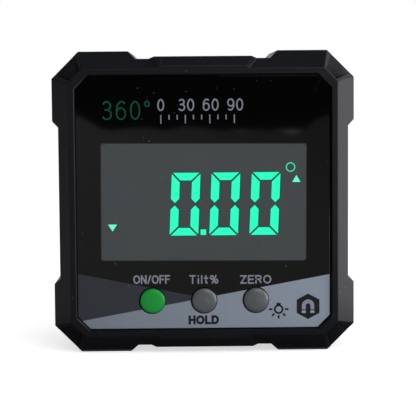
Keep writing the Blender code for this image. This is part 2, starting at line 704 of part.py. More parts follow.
def front_panel(gloss):
    """The printed panel: a thin chamfered plate with a hole for each button."""
    bm = bmesh.new()
    half_width = HALF_WIDTH - PANEL_INSET
    half_height = HALF_HEIGHT - PANEL_INSET
    add_prism(bm, chamfered(half_width, half_height, PANEL_CORNER_CUT), PANEL_FRONT_Y, PANEL_BACK_Y)
    panel = finish("front_panel", bm, PARTS, gloss)

    def holes(cut):
        for x in BUTTONS.values():
            outline = circle(x, BUTTON_Z, BUTTON_RADIUS + FIT_GAP)
            add_prism(cut, outline, PANEL_FRONT_Y - PAST, PANEL_BACK_Y + PAST)

    combine(panel, cutter("panel_holes", holes), "DIFFERENCE")


def display(glass, clear, white, rubber):
    """The segment glass, the holder behind it, the light guide with its lamp, and the contact strip."""
    glass_middle = MID_Z + (GLASS_ABOVE - GLASS_BELOW) / 2
    glass_half = (GLASS_ABOVE + GLASS_BELOW) / 2
    bm = bmesh.new()
    low = (-GLASS_WIDTH / 2, WALL_FRONT_Y, glass_middle - glass_half)
    add_box(bm, low, (GLASS_WIDTH / 2, GLASS_BACK_Y, glass_middle + glass_half))
    finish("lcd_glass", bm, PARTS, glass)

    bm = bmesh.new()
    half_width = GLASS_WIDTH / 2 + HOLDER_RIM
    low = (-half_width, HOLDER_FRONT_Y, glass_middle - glass_half - HOLDER_RIM)
    add_box(bm, low, (half_width, HOLDER_BACK_Y, glass_middle + glass_half + HOLDER_RIM))
    holder = finish("lcd_holder", bm, PARTS, white)

    strip_top = MID_Z + GLASS_ABOVE - STRIP_MARGIN
    strip_bottom = strip_top - STRIP_THICKNESS
    lamp_x = GUIDE_WIDTH / 2 + FIT_GAP
    lamp_y = HOLDER_FRONT_Y + (GUIDE_THICKNESS - LAMP_SIZE) / 2

    def guide_pocket(cut):
        outline = rectangle(0, MID_Z, GUIDE_WIDTH / 2 + FIT_GAP, GUIDE_HEIGHT / 2 + FIT_GAP)
        add_prism(cut, outline, HOLDER_FRONT_Y - PAST, GUIDE_BACK_Y + FIT_GAP)
        low = (-STRIP_LENGTH / 2 - FIT_GAP, HOLDER_FRONT_Y - PAST, strip_bottom - FIT_GAP)
        add_box(cut, low, (STRIP_LENGTH / 2 + FIT_GAP, HOLDER_BACK_Y + PAST, strip_top + FIT_GAP))

    def lamp_pocket(cut):
        half = LAMP_LENGTH / 2 + FIT_GAP
        low = (lamp_x - PAST, HOLDER_FRONT_Y - PAST, MID_Z - half)
        add_box(cut, low, (lamp_x + LAMP_SIZE + FIT_GAP, lamp_y + LAMP_SIZE + FIT_GAP, MID_Z + half))

    combine(holder, cutter("guide_pocket", guide_pocket), "DIFFERENCE")
    combine(holder, cutter("lamp_pocket", lamp_pocket), "DIFFERENCE")

    bm = bmesh.new()
    low = (-GUIDE_WIDTH / 2, HOLDER_FRONT_Y, MID_Z - GUIDE_HEIGHT / 2)
    add_box(bm, low, (GUIDE_WIDTH / 2, GUIDE_BACK_Y, MID_Z + GUIDE_HEIGHT / 2))
    finish("light_guide", bm, PARTS, clear)

    bm = bmesh.new()
    low = (lamp_x, lamp_y, MID_Z - LAMP_LENGTH / 2)
    add_box(bm, low, (lamp_x + LAMP_SIZE, lamp_y + LAMP_SIZE, MID_Z + LAMP_LENGTH / 2))
    finish("backlight_led", bm, PARTS, white)

    bm = bmesh.new()
    low = (-STRIP_LENGTH / 2, HOLDER_FRONT_Y, strip_bottom)
    add_box(bm, low, (STRIP_LENGTH / 2, HOLDER_BACK_Y, strip_top))
    finish("contact_strip", bm, PARTS, rubber)


def buttons(green, grey):
    """The push buttons: a crowned cap, the flange that keeps it in, and the plunger that meets the switch."""
    top = PANEL_FRONT_Y - BUTTON_PROUD
    flange_front = top - FLANGE_FRONT_Y
    flange_back = top - FLANGE_BACK_Y
    plunger_tip = top - PLUNGER_TIP_Y
    crown_radius = BUTTON_RADIUS - BUTTON_EDGE
    profile = []
    for step in range(4):
        share = step / 3
        profile.append((crown_radius * share, -BUTTON_CROWN * share**2))
    for step in (1, 2, 3):
        turn = math.pi / 2 * step / 3
        sink = BUTTON_EDGE * (1 - math.cos(turn))
        profile.append((crown_radius + BUTTON_EDGE * math.sin(turn), -BUTTON_CROWN - sink))
    profile += [
        (BUTTON_RADIUS, flange_front),
        (BUTTON_RADIUS + FLANGE_OVERHANG, flange_front),
        (BUTTON_RADIUS + FLANGE_OVERHANG, flange_back),
        (PLUNGER_RADIUS, flange_back),
        (PLUNGER_RADIUS, plunger_tip),
        (0, plunger_tip),
    ]
    for name, x in BUTTONS.items():
        finish_material = green if name == "button_on_off" else grey
        turned(name, profile, (x, top, BUTTON_Z), FACING_FRONT, finish_material)


def button_seal(rubber):
    """The silicone mat behind the buttons, with a lipped hole for each plunger."""
    bm = bmesh.new()
    half_width, half_height = button_seal_size()
    back = BUTTON_SEAL_Y + BUTTON_SEAL_THICKNESS
    add_prism(bm, rectangle(0, BUTTON_Z, half_width, half_height), BUTTON_SEAL_Y, back)
    mat = finish("button_seal", bm, PARTS, rubber)

    def holes(cut):
        for x in BUTTONS.values():
            outline = circle(x, BUTTON_Z, PLUNGER_RADIUS + FIT_GAP, BOSS_ROUND)
            add_prism(cut, outline, BUTTON_SEAL_Y - PAST, back + PAST)

    combine(mat, cutter("button_seal_holes", holes), "DIFFERENCE")


def board(green, steel, dark):
    """The main board with the switches in front, and the chip and the tilt sensor behind."""
    half_width = CAVITY_HALF_WIDTH - BOARD_EDGE_GAP
    half_height = CAVITY_HALF_HEIGHT - BOARD_EDGE_GAP
    clear_of_boss = BOSS_X + BOSS_Z - (BOSS_RADIUS + FIT_GAP) * math.sqrt(2)
    cut = half_width + half_height - clear_of_boss
    bm = bmesh.new()
    add_prism(bm, chamfered(half_width, half_height, cut), BOARD_FRONT_Y, BOARD_BACK_Y)
    plate = finish("main_board", bm, PARTS, green)

    def holes(tool):
        for x, z in post_places():
            outline = circle(x, z, BOARD_SCREW_RADIUS + FIT_GAP, SCREW_ROUND)
            add_prism(tool, outline, BOARD_FRONT_Y - PAST, BOARD_BACK_Y + PAST)

    combine(plate, cutter("board_holes", holes), "DIFFERENCE")

    for number, (x, z) in enumerate(post_places(), 1):
        place = (x, BOARD_BACK_Y + FIT_GAP, z)
        sizes = (BOARD_SCREW_RADIUS, BOARD_SCREW_LENGTH, BOARD_SCREW_HEAD_RADIUS, BOARD_SCREW_HEAD)
        screw(f"board_screw_{number}", place, *sizes, steel)

    for name, x in BUTTONS.items():
        bm = bmesh.new()
        body = rectangle(x, BUTTON_Z, SWITCH_SIZE / 2, SWITCH_SIZE / 2)
        add_prism(bm, body, SWITCH_FRONT_Y, BOARD_FRONT_Y - FIT_GAP)
        switch = finish(name.replace("button", "switch"), bm, PARTS, dark)
        tip = circle(x, BUTTON_Z, SWITCH_TIP_RADIUS, BOSS_ROUND)
        tip_tool = cutter(name + "_tip", add_prism, tip, SWITCH_TIP_Y, SWITCH_FRONT_Y + ROOT)
        combine(switch, tip_tool, "UNION")

    parts_behind = (
        ("control_chip", CHIP_X, CHIP_SIZE, CHIP_HEIGHT),
        ("tilt_sensor", SENSOR_X, SENSOR_SIZE, SENSOR_HEIGHT),
    )
    for name, x, size, height in parts_behind:
        bm = bmesh.new()
        half = size / 2
        z = MID_Z + CHIP_RISE
        front = BOARD_BACK_Y + FIT_GAP
        add_box(bm, (x - half, front, z - half), (x + half, front + height, z + half))
        finish(name, bm, PARTS, dark)


def case_seal(rubber):
    """The silicone ring that the front shell's tongue presses into the rear shell's groove."""
    bm = bmesh.new()
    back = CASE_SEAL_Y + CASE_SEAL_THICKNESS
    add_prism(bm, case_seal_outline(0), CASE_SEAL_Y, back)
    ring = finish("case_seal", bm, PARTS, rubber)
    inner = case_seal_outline(-CASE_SEAL_WIDTH)
    inside = cutter("case_seal_inside", add_prism, inner, CASE_SEAL_Y - PAST, back + PAST)
    combine(ring, inside, "DIFFERENCE")


def case_screws(steel):
    """The four screws that draw the shells together from the back."""
    for number, (sx, sz) in enumerate(CORNERS, 1):
        place = (sx * BOSS_X, BACK_Y - CASE_SCREW_SINK, MID_Z + sz * BOSS_Z)
        sizes = (CASE_SCREW_RADIUS, CASE_SCREW_LENGTH, CASE_SCREW_HEAD_RADIUS, CASE_SCREW_HEAD)
        screw(f"case_screw_{number}", place, *sizes, steel)


def cells(wrap, steel, nickel):
    """Two AAA cells side by side, pointing opposite ways, with their contact plates, springs and leads."""
    spring_radius = SPRING_WIRE / 2
    plate_outer = BAY_HALF_LENGTH - FIT_GAP
    plate_inner = plate_outer - CONTACT_THICKNESS
    profile = [
        (0, CELL_BODY_LENGTH + CELL_TIP_LENGTH),
        (CELL_TIP_RADIUS, CELL_BODY_LENGTH + CELL_TIP_LENGTH),
        (CELL_TIP_RADIUS, CELL_BODY_LENGTH),
        (CELL_RADIUS - CELL_EDGE, CELL_BODY_LENGTH),
        (CELL_RADIUS, CELL_BODY_LENGTH - CELL_EDGE),
        (CELL_RADIUS, CELL_EDGE),
        (CELL_RADIUS - CELL_EDGE, 0),
        (0, 0),
    ]
    for name, side in (("upper", 1), ("lower", -1)):
        z = MID_Z + side * CELL_PITCH / 2
        tip_x = -side * (plate_inner - FIT_GAP)
        base_x = tip_x + side * (CELL_BODY_LENGTH + CELL_TIP_LENGTH)
        facing = FACING_LEFT if side > 0 else FACING_RIGHT
        turned("cell_" + name, profile, (base_x, CELL_Y, z), facing, wrap)
        start = base_x + side * (FIT_GAP + spring_radius)
        end = side * (plate_inner - FIT_GAP - spring_radius)
        contact_spring("spring_" + name, start, end, z, steel)

    def plate(name, x_low, x_high, z_low, z_high):
        bm = bmesh.new()
        front = BAY_FLOOR_Y + CONTACT_LIFT
        add_box(bm, (x_low, front, z_low), (x_high, front + CONTACT_HEIGHT, z_high))
        return finish(name, bm, PARTS, nickel)

    half = CONTACT_WIDTH / 2
    reach = CELL_PITCH / 2 + half
    plate("link_plate", -plate_outer, -plate_inner, MID_Z - reach, MID_Z + reach)
    for name, side in (("negative", 1), ("positive", -1)):
        middle = MID_Z + side * CELL_PITCH / 2
        made = plate(name + "_plate", plate_inner, plate_outer, middle - half, middle + half)
        tip_y = BAY_FLOOR_Y - BAY_FLOOR - CONTACT_TAB_REACH

        def tab(bm, middle=middle, tip_y=tip_y):
            tab_half = CONTACT_TAB_WIDTH / 2
            high = (plate_outer, BAY_FLOOR_Y + CONTACT_LIFT + PAST, middle + tab_half)
            add_box(bm, (plate_inner, tip_y, middle - tab_half), high)

        combine(made, cutter(name + "_tab", tab), "UNION")
        lead_x = plate_inner - FIT_GAP - LEAD_DIAMETER / 2
        lead("lead_" + name, (lead_x, tip_y + CONTACT_TAB_REACH / 2, middle), side)


def tube(name, points, radius, finish_material):
    """A round wire through points, as a closed mesh."""
    curve = bpy.data.curves.new(name, "CURVE")
    curve.dimensions = "3D"
    curve.bevel_depth = radius
    curve.bevel_resolution = 2
    curve.use_fill_caps = True
    spline = curve.splines.new("POLY")
    spline.points.add(len(points) - 1)
    for point, place in zip(spline.points, points):
        point.co = (*place, 1)
    curve.materials.append(finish_material)
    made = bpy.data.objects.new(name, curve)
    PARTS.objects.link(made)
    return made


def contact_spring(name, start_x, end_x, z, steel):
    """A conical coil, wide at the plate and narrow at the cell."""
    steps = SPRING_TURNS * SPRING_ROUND
    points = []
    for i in range(steps + 1):
        share = i / steps
        radius = SPRING_NARROW_RADIUS + (SPRING_WIDE_RADIUS - SPRING_NARROW_RADIUS) * share
        turn = 2 * math.pi * SPRING_TURNS * share
        x = start_x + (end_x - start_x) * share
        points.append((x, CELL_Y + radius * math.cos(turn), z + radius * math.sin(turn)))
    tube(name, points, SPRING_WIRE / 2, steel)


def lead(name, start, side):
    """A short insulated wire from a contact tab to the back of the board."""
    x, y, z = start
    end_y = BOARD_BACK_Y + FIT_GAP + LEAD_DIAMETER / 2
    points = []
    for i in range(LEAD_STEPS + 1):
        share = i / LEAD_STEPS
        ease = share * share * (3 - 2 * share)
        bow = LEAD_BOW * math.sin(math.pi * share)
        points.append((x - LEAD_SWAY * share, y + (end_y - y) * ease, z + side * bow))
    tube(name, points, LEAD_DIAMETER / 2, LEAD_FINISH[side])


def battery_door(plastic, rubber, steel):
    """The door with two tongues below and one screw above, and the seal under it."""
    bm = bmesh.new()
    add_prism(bm, door_outline(0), DOOR_INNER_Y, BACK_Y)
    door = finish("battery_door", bm, PARTS, plastic)
    low_z = MID_Z - DOOR_HALF_HEIGHT

    def tongues(tool):
        back = DOOR_INNER_Y + TONGUE_THICKNESS
        for middle in (-TONGUE_AT, TONGUE_AT):
            low = (middle - TONGUE_WIDTH / 2, DOOR_INNER_Y, low_z - TONGUE_REACH)
            add_box(tool, low, (middle + TONGUE_WIDTH / 2, back, low_z + PAST))

    def screw_hole(tool):
        sink = BACK_Y - DOOR_SCREW_HEAD - FIT_GAP
        shank = circle(0, EAR_Z, DOOR_SCREW_RADIUS + FIT_GAP, SCREW_ROUND)
        head = circle(0, EAR_Z, DOOR_SCREW_HEAD_RADIUS + FIT_GAP, SCREW_ROUND)
        add_loft(tool, [(DOOR_INNER_Y - PAST, shank), (sink, shank), (sink, head), (BACK_Y + PAST, head)])

    combine(door, cutter("door_tongues", tongues), "UNION")
    combine(door, cutter("door_screw_hole", screw_hole), "DIFFERENCE")
    place = (0, BACK_Y - DOOR_SCREW_HEAD, EAR_Z)
    sizes = (DOOR_SCREW_RADIUS, DOOR_SCREW_LENGTH, DOOR_SCREW_HEAD_RADIUS, DOOR_SCREW_HEAD)
    screw("door_screw", place, *sizes, steel)

    bm = bmesh.new()
    inner_width = BAY_HALF_LENGTH + DOOR_SEAL_MARGIN
    inner_height = BAY_HALF_HEIGHT + DOOR_SEAL_MARGIN
    outer = chamfered(inner_width + DOOR_SEAL_WIDTH, inner_height + DOOR_SEAL_WIDTH, DOOR_CORNER_CUT)
    front = LEDGE_Y + FIT_GAP
    back = front + DOOR_SEAL_THICKNESS
    add_prism(bm, outer, front, back)
    ring = finish("door_seal", bm, PARTS, rubber)
    inner = rectangle(0, MID_Z, inner_width, inner_height)
    combine(ring, cutter("door_seal_inside", add_prism, inner, front - PAST, back + PAST), "DIFFERENCE")


def magnets(nickel):
    """The four disc magnets in the feet."""
    profile = [
        (0, MAGNET_THICKNESS),
        (MAGNET_RADIUS - MAGNET_EDGE, MAGNET_THICKNESS),
        (MAGNET_RADIUS, MAGNET_THICKNESS - MAGNET_EDGE),
        (MAGNET_RADIUS, MAGNET_EDGE),
        (MAGNET_RADIUS - MAGNET_EDGE, 0),
        (0, 0),
    ]
    places = [(side * FOOT_X, y) for y in (front_magnet_y(), rear_magnet_y()) for side in (-1, 1)]
    for number, (x, y) in enumerate(places, 1):
        turned(f"magnet_{number}", profile, (x, y, MAGNET_RECESS), (0, 0, 0), nickel, BOSS_ROUND)


for old in list(bpy.data.objects):
    bpy.data.objects.remove(old, do_unlink=True)

PARTS = collection("digital_angle_gauge")
CUTTERS = collection("cutters")
BUTTONS = {"button_on_off": -BUTTON_PITCH, "button_hold": 0.0, "button_zero": BUTTON_PITCH}

BLACK_PLASTIC = material("black_plastic", (0.011, 0.011, 0.013), 0.42)
GLOSS_PANEL = material("gloss_panel", (0.004, 0.004, 0.004), 0.06)
DISPLAY_GLASS = material("display_glass", (0.06, 0.065, 0.068), 0.05)
CLEAR_PLASTIC = material("clear_plastic", (0.75, 0.8, 0.78), 0.1)
WHITE_PLASTIC = material("white_plastic", (0.8, 0.8, 0.78), 0.4)
GREEN_CAP = material("green_cap", (0.015, 0.3, 0.05), 0.4)
GREY_CAP = material("grey_cap", (0.1, 0.11, 0.11), 0.4)
SILICONE = material("silicone", (0.05, 0.05, 0.055), 0.6)
BOARD_GREEN = material("board_green", (0.01, 0.1, 0.035), 0.35)
CHIP_BLACK = material("chip_black", (0.012, 0.012, 0.012), 0.5)
STEEL = material("screw_steel", (0.5, 0.5, 0.52), 0.3, 1.0)
CONTACT_NICKEL = material("contact_nickel", (0.6, 0.57, 0.5), 0.25, 1.0)
CELL_WRAP = material("cell_wrap", (0.1, 0.1, 0.11), 0.3)
NICKEL = material("magnet_nickel", (0.62, 0.62, 0.62), 0.2, 1.0)
LEAD_FINISH = {
    1: material("lead_black", (0.01, 0.01, 0.01), 0.5),
    -1: material("lead_red", (0.4, 0.01, 0.01), 0.5),
}

front_shell(BLACK_PLASTIC)
rear_shell(BLACK_PLASTIC)
front_panel(GLOSS_PANEL)
display(DISPLAY_GLASS, CLEAR_PLASTIC, WHITE_PLASTIC, SILICONE)
buttons(GREEN_CAP, GREY_CAP)
button_seal(SILICONE)
board(BOARD_GREEN, STEEL, CHIP_BLACK)
case_seal(SILICONE)
case_screws(STEEL)
cells(CELL_WRAP, STEEL, CONTACT_NICKEL)
battery_door(BLACK_PLASTIC, SILICONE, STEEL)
magnets(NICKEL)
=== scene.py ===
import math

import bmesh
import bpy
from mathutils import Matrix, Vector


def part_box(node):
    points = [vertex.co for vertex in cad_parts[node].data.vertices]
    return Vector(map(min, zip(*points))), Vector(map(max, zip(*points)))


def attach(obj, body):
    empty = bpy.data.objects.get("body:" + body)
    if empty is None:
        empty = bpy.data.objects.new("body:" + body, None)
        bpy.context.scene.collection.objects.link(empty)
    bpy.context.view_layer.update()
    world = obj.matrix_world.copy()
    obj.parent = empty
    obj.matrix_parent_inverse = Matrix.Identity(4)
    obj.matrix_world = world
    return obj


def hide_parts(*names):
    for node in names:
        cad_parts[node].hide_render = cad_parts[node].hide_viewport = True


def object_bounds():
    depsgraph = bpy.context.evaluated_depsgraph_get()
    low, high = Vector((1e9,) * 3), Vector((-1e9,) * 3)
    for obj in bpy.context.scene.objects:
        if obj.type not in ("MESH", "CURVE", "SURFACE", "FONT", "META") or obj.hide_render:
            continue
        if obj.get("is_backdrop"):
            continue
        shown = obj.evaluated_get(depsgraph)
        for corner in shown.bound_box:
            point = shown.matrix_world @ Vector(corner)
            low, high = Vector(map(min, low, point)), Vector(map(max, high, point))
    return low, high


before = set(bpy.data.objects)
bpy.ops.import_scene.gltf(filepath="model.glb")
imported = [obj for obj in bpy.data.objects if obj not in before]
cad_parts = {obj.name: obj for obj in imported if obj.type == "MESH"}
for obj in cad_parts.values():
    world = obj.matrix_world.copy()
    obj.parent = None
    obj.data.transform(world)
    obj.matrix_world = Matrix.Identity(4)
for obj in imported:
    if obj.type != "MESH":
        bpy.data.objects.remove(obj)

CAD_LOW, CAD_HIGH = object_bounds()
MM = 0.001

# The camera looks straight at the display from a little above and a hair to the left, three hand widths
# away, and leans a little, as the photograph was taken.
VIEW_AZIMUTH = -0.6
VIEW_ELEVATION = 4.3
VIEW_DISTANCE = 300 * MM
VIEW_ROLL = 0.45
LENS = 122.6
SHIFT_X = 0.0120
SHIFT_Y = -0.0262

middle = (CAD_LOW + CAD_HIGH) / 2
azimuth, elevation = math.radians(VIEW_AZIMUTH), math.radians(VIEW_ELEVATION)
towards_camera = Vector((
    math.sin(azimuth) * math.cos(elevation),
    -math.cos(azimuth) * math.cos(elevation),
    math.sin(elevation),
))
camera = bpy.data.objects.new("camera", bpy.data.cameras.new("camera"))
camera.data.lens = LENS
camera.data.shift_x = SHIFT_X
camera.data.shift_y = SHIFT_Y
camera.rotation_mode = "QUATERNION"
camera.location = middle + towards_camera * VIEW_DISTANCE
lean = Matrix.Rotation(math.radians(-VIEW_ROLL), 4, "Z").to_quaternion()
camera.rotation_quaternion = (-towards_camera).to_track_quat("-Z", "Y") @ lean
bpy.context.scene.collection.objects.link(camera)
bpy.context.scene.camera = camera

# The studio is a white room. Camera, glossy and transmission rays see it white, and it lights the gauge
# softly at a plain level, with one softbox at the front and one at the right.
ROOM_LIGHT = 0.42
FRONT_BOX = {"place": (0.30, -0.80, 0.75), "size": 0.6, "power": 3.0}
RIGHT_BOX = {"place": (0.50, -0.14, 0.10), "size": 0.36, "power": 1.95}

bpy.context.scene.view_settings.view_transform = "Standard"


def seen_directly(tree):
    """A value that is 1 for camera, glossy and transmission rays, and 0 for the rest."""
    path = tree.nodes.new("ShaderNodeLightPath")
    value = path.outputs["Is Camera Ray"]
    for ray in ("Is Glossy Ray", "Is Transmission Ray"):
        total = tree.nodes.new("ShaderNodeMath")
        total.operation = "ADD"
        total.use_clamp = True
        tree.links.new(value, total.inputs[0])
        tree.links.new(path.outputs[ray], total.inputs[1])
        value = total.outputs[0]
    return value


world = bpy.data.worlds.new("studio")
world.use_nodes = True
bpy.context.scene.world = world
tree = world.node_tree
background = tree.nodes["Background"]
background.inputs["Color"].default_value = (1, 1, 1, 1)
strength = tree.nodes.new("ShaderNodeMapRange")
strength.inputs["To Min"].default_value = ROOM_LIGHT
strength.inputs["To Max"].default_value = 1.0
tree.links.new(seen_directly(tree), strength.inputs["Value"])
tree.links.new(strength.outputs["Result"], background.inputs["Strength"])

for name, box in (("front_box", FRONT_BOX), ("right_box", RIGHT_BOX)):
    lamp = bpy.data.lights.new(name, "AREA")
    lamp.size = box["size"]
    lamp.energy = box["power"]
    holder = bpy.data.objects.new(name, lamp)
    holder.location = box["place"]
    holder.rotation_mode = "QUATERNION"
    holder.rotation_quaternion = (middle - holder.location).to_track_quat("-Z", "Y")
    bpy.context.scene.collection.objects.link(holder)


# The floor is a pale sheet that keeps the gauge's shadow. Only reflections see the flags and cards round
# the gauge: dark flags keep its black surfaces black, and pale cards on the table light its side bevels.
FLOOR_REACH = 4.0
FLOOR_COLOUR = (0.86, 0.86, 0.86, 1)
FLOOR_GLOW = 0.64
FLAG_FRONT = -1.6
FLAG_LEFT = -0.7
FLAG_TOP = 1.4
CARD_LIFT = 0.0004
CARD_TOP = 0.0008
CARD_DEPTH = (-0.35, 0.25)


def level(left, right, near, far, height):
    """The corners of a sheet that lies level."""
    return (left, near, height), (right, near, height), (right, far, height), (left, far, height)


FLAGS = {
    "front_flag": (0.01, ((-2.0, FLAG_FRONT, 0.0), (2.0, FLAG_FRONT, 0.0), (2.0, FLAG_FRONT, 2.2),
                          (-2.0, FLAG_FRONT, 2.2))),
    "left_flag": (0.15, ((FLAG_LEFT, FLAG_FRONT, 0.0), (FLAG_LEFT, 1.5, 0.0), (FLAG_LEFT, 1.5, FLAG_TOP),
                         (FLAG_LEFT, FLAG_FRONT, FLAG_TOP))),
    "top_flag": (0.0, level(FLAG_LEFT, 1.4, FLAG_FRONT, 0.55, FLAG_TOP)),
    "right_card": (2.3, level(0.06, 0.6, *CARD_DEPTH, CARD_TOP)),
    "left_card": (0.45, level(-0.6, -0.06, *CARD_DEPTH, CARD_TOP)),
    "floor_flag": (0.06, level(-0.058, 0.058, -0.03, 0.2, CARD_LIFT)),
}


def flat_sheet(name, outline, finish):
    """One flat face through the outline's points."""
    bm = bmesh.new()
    bm.faces.new([bm.verts.new(point) for point in outline])
    mesh = bpy.data.meshes.new(name)
    bm.to_mesh(mesh)
    bm.free()
    mesh.materials.append(finish)
    sheet = bpy.data.objects.new(name, mesh)
    bpy.context.scene.collection.objects.link(sheet)
    sheet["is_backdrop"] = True
    return sheet


def glowing(name, strength):
    """A plain surface that gives off an even light and reflects none."""
    made = bpy.data.materials.new(name)
    made.use_nodes = True
    made.node_tree.nodes.clear()
    glow = made.node_tree.nodes.new("ShaderNodeEmission")
    glow.name = "Emission"
    glow.inputs["Strength"].default_value = strength
    output = made.node_tree.nodes.new("ShaderNodeOutputMaterial")
    made.node_tree.links.new(glow.outputs[0], output.inputs["Surface"])
    return made


def only_reflected(sheet):
    """Hides a card from every ray but a reflection."""
    sheet.visible_camera = False
    sheet.visible_diffuse = False
    sheet.visible_transmission = False
    sheet.visible_shadow = False


floor_finish = bpy.data.materials.new("floor")
floor_finish.use_nodes = True
tree = floor_finish.node_tree
shader = tree.nodes["Principled BSDF"]
shader.inputs["Base Color"].default_value = FLOOR_COLOUR
shader.inputs["Roughness"].default_value = 1.0
shader.inputs["Specular IOR Level"].default_value = 0.0
shader.inputs["Emission Color"].default_value = (1, 1, 1, 1)
glow = tree.nodes.new("ShaderNodeMath")
glow.operation = "MULTIPLY"
glow.inputs[1].default_value = FLOOR_GLOW
tree.links.new(seen_directly(tree), glow.inputs[0])
tree.links.new(glow.outputs[0], shader.inputs["Emission Strength"])
flat_sheet("floor", level(-FLOOR_REACH, FLOOR_REACH, -FLOOR_REACH, FLOOR_REACH, 0), floor_finish)

for name, (strength, outline) in FLAGS.items():
    only_reflected(flat_sheet(name, outline, glowing(name, strength)))


# The panel mirrors a grey table and, above a wavy line, the dark room behind it. The table runs from near
# the gauge to a low screen whose upper edge is cut so that the panel shows it along that line.
TABLE_NEAR = 0.03
TABLE_HALF = 0.8
SCREEN_BACK = 1.0
GLOW_LEFT = 0.33
GLOW_RIGHT = 0.18
GLOW_HALF = 0.12
MIRRORED_EDGE = (
    (-29.0, 18.6), (-25.4, 17.8), (-22.7, 16.7), (-20.6, 15.2), (-18.2, 14.8), (-15.0, 15.2), (-11.5, 15.3),
    (-7.5, 14.7), (-3.8, 15.4), (-0.5, 15.2), (3.0, 14.6), (7.9, 14.2), (12.0, 14.6), (15.0, 14.4),
    (18.2, 13.8), (20.6, 14.5), (22.6, 16.4), (25.3, 17.4), (29.0, 18.2),
)

table_finish = glowing("table", 1.0)
tree = table_finish.node_tree
place = tree.nodes.new("ShaderNodeTexCoord").outputs["Object"]
parts = tree.nodes.new("ShaderNodeSeparateXYZ")
fall = tree.nodes.new("ShaderNodeMapRange")
fall.inputs["From Min"].default_value = -GLOW_HALF
fall.inputs["From Max"].default_value = GLOW_HALF
fall.inputs["To Min"].default_value = GLOW_LEFT
fall.inputs["To Max"].default_value = GLOW_RIGHT
tree.links.new(place, parts.inputs["Vector"])
tree.links.new(parts.outputs["X"], fall.inputs["Value"])
tree.links.new(fall.outputs["Result"], tree.nodes["Emission"].inputs["Strength"])

panel_low, panel_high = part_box("front_panel")
panel_middle = (panel_low + panel_high) / 2
screen = [(TABLE_HALF, -SCREEN_BACK, CARD_LIFT), (-TABLE_HALF, -SCREEN_BACK, CARD_LIFT)]
for x, z in MIRRORED_EDGE:
    seen = Vector((panel_middle.x + x * MM, panel_low.y, panel_middle.z + z * MM))
    ray = seen - camera.location
    reach = (seen.y + SCREEN_BACK) / ray.y
    screen.append((seen.x + ray.x * reach, -SCREEN_BACK, seen.z + ray.z * reach))
table = level(-TABLE_HALF, TABLE_HALF, -TABLE_NEAR, -SCREEN_BACK, CARD_LIFT)
only_reflected(flat_sheet("table", table, table_finish))
only_reflected(flat_sheet("screen", screen, table_finish))


# The housing is two shells and a battery door, moulded in satin black plastic with a fine grain and a
# little pale dust. The mould gives them small radii, a chamfer round the panel's recess, and in each corner
# facet a sunk pocket, grooved round its floor, whose floor slopes up to the outline.
HOUSING_COLOUR = (0.0042, 0.0048, 0.0080)
HOUSING_ROUGHNESS = 0.42
HOUSING_SPECULAR = 0.28
HOUSING_GRAIN = 0.16 * MM
HOUSING_GRAIN_DEPTH = 0.006 * MM
EDGE_RADIUS = 0.16 * MM
EDGE_STEPS = 3
SHARP_ANGLE = 24
SMOOTH_ANGLE = 24
FLAT_ANGLE = 0.6
SAME_POINT = 0.002 * MM
SAME_DEPTH = 0.005 * MM
CUT_REACH = 0.001 * MM
INSIDE_OF_RIM = 25.3 * MM
INSIDE_OF_CORNER = 48.0 * MM
FRONT_BEVEL = 3.6 * MM
CORNER_CUT = 5.45 * MM
RIM_CORNER_CUT = 2.3 * MM
POCKET_DEPTH = 0.6 * MM
POCKET_HALF = 3.7 * MM
POCKET_REACH = 7.0 * MM
AT_EDGE = 0.05 * MM
AT_WALL = 0.02 * MM
FLOOR_BAND = (0.8, 1.3)
POCKET_RIB = 0.6 * MM
POCKET_INNER_HALF = 1.40 * MM
POCKET_OUTER_HALF = 2.38 * MM
NEW_RIM_CUT = 2.8 * MM
RECESS_CHAMFER = 0.26 * MM
OUTSIDE_OF_RECESS = 26.5 * MM
OUTSIDE_OF_RECESS_CORNER = 50.0 * MM
END_GROOVE = 2.2 * MM
END_GROOVE_DEPTH = 2.3 * MM
END_GROOVE_LEAN = 0.7 * MM
SIDE_GROOVE = 0.35 * MM
SIDE_GROOVE_DEPTH = 0.7 * MM
FLOOR_SINK = 0.5 * MM
FLOOR_RISE = 0.8 * MM
DUST_COLOUR = (0.28, 0.28, 0.27)
DUST_SPACING = 1.7 * MM
DUST_SIZE = 0.036
MOTTLE_SIZE = 9 * MM
MOTTLE_DETAIL = 3
GRAIN_DETAIL = 2
GLOSS_SPREAD = 0.1


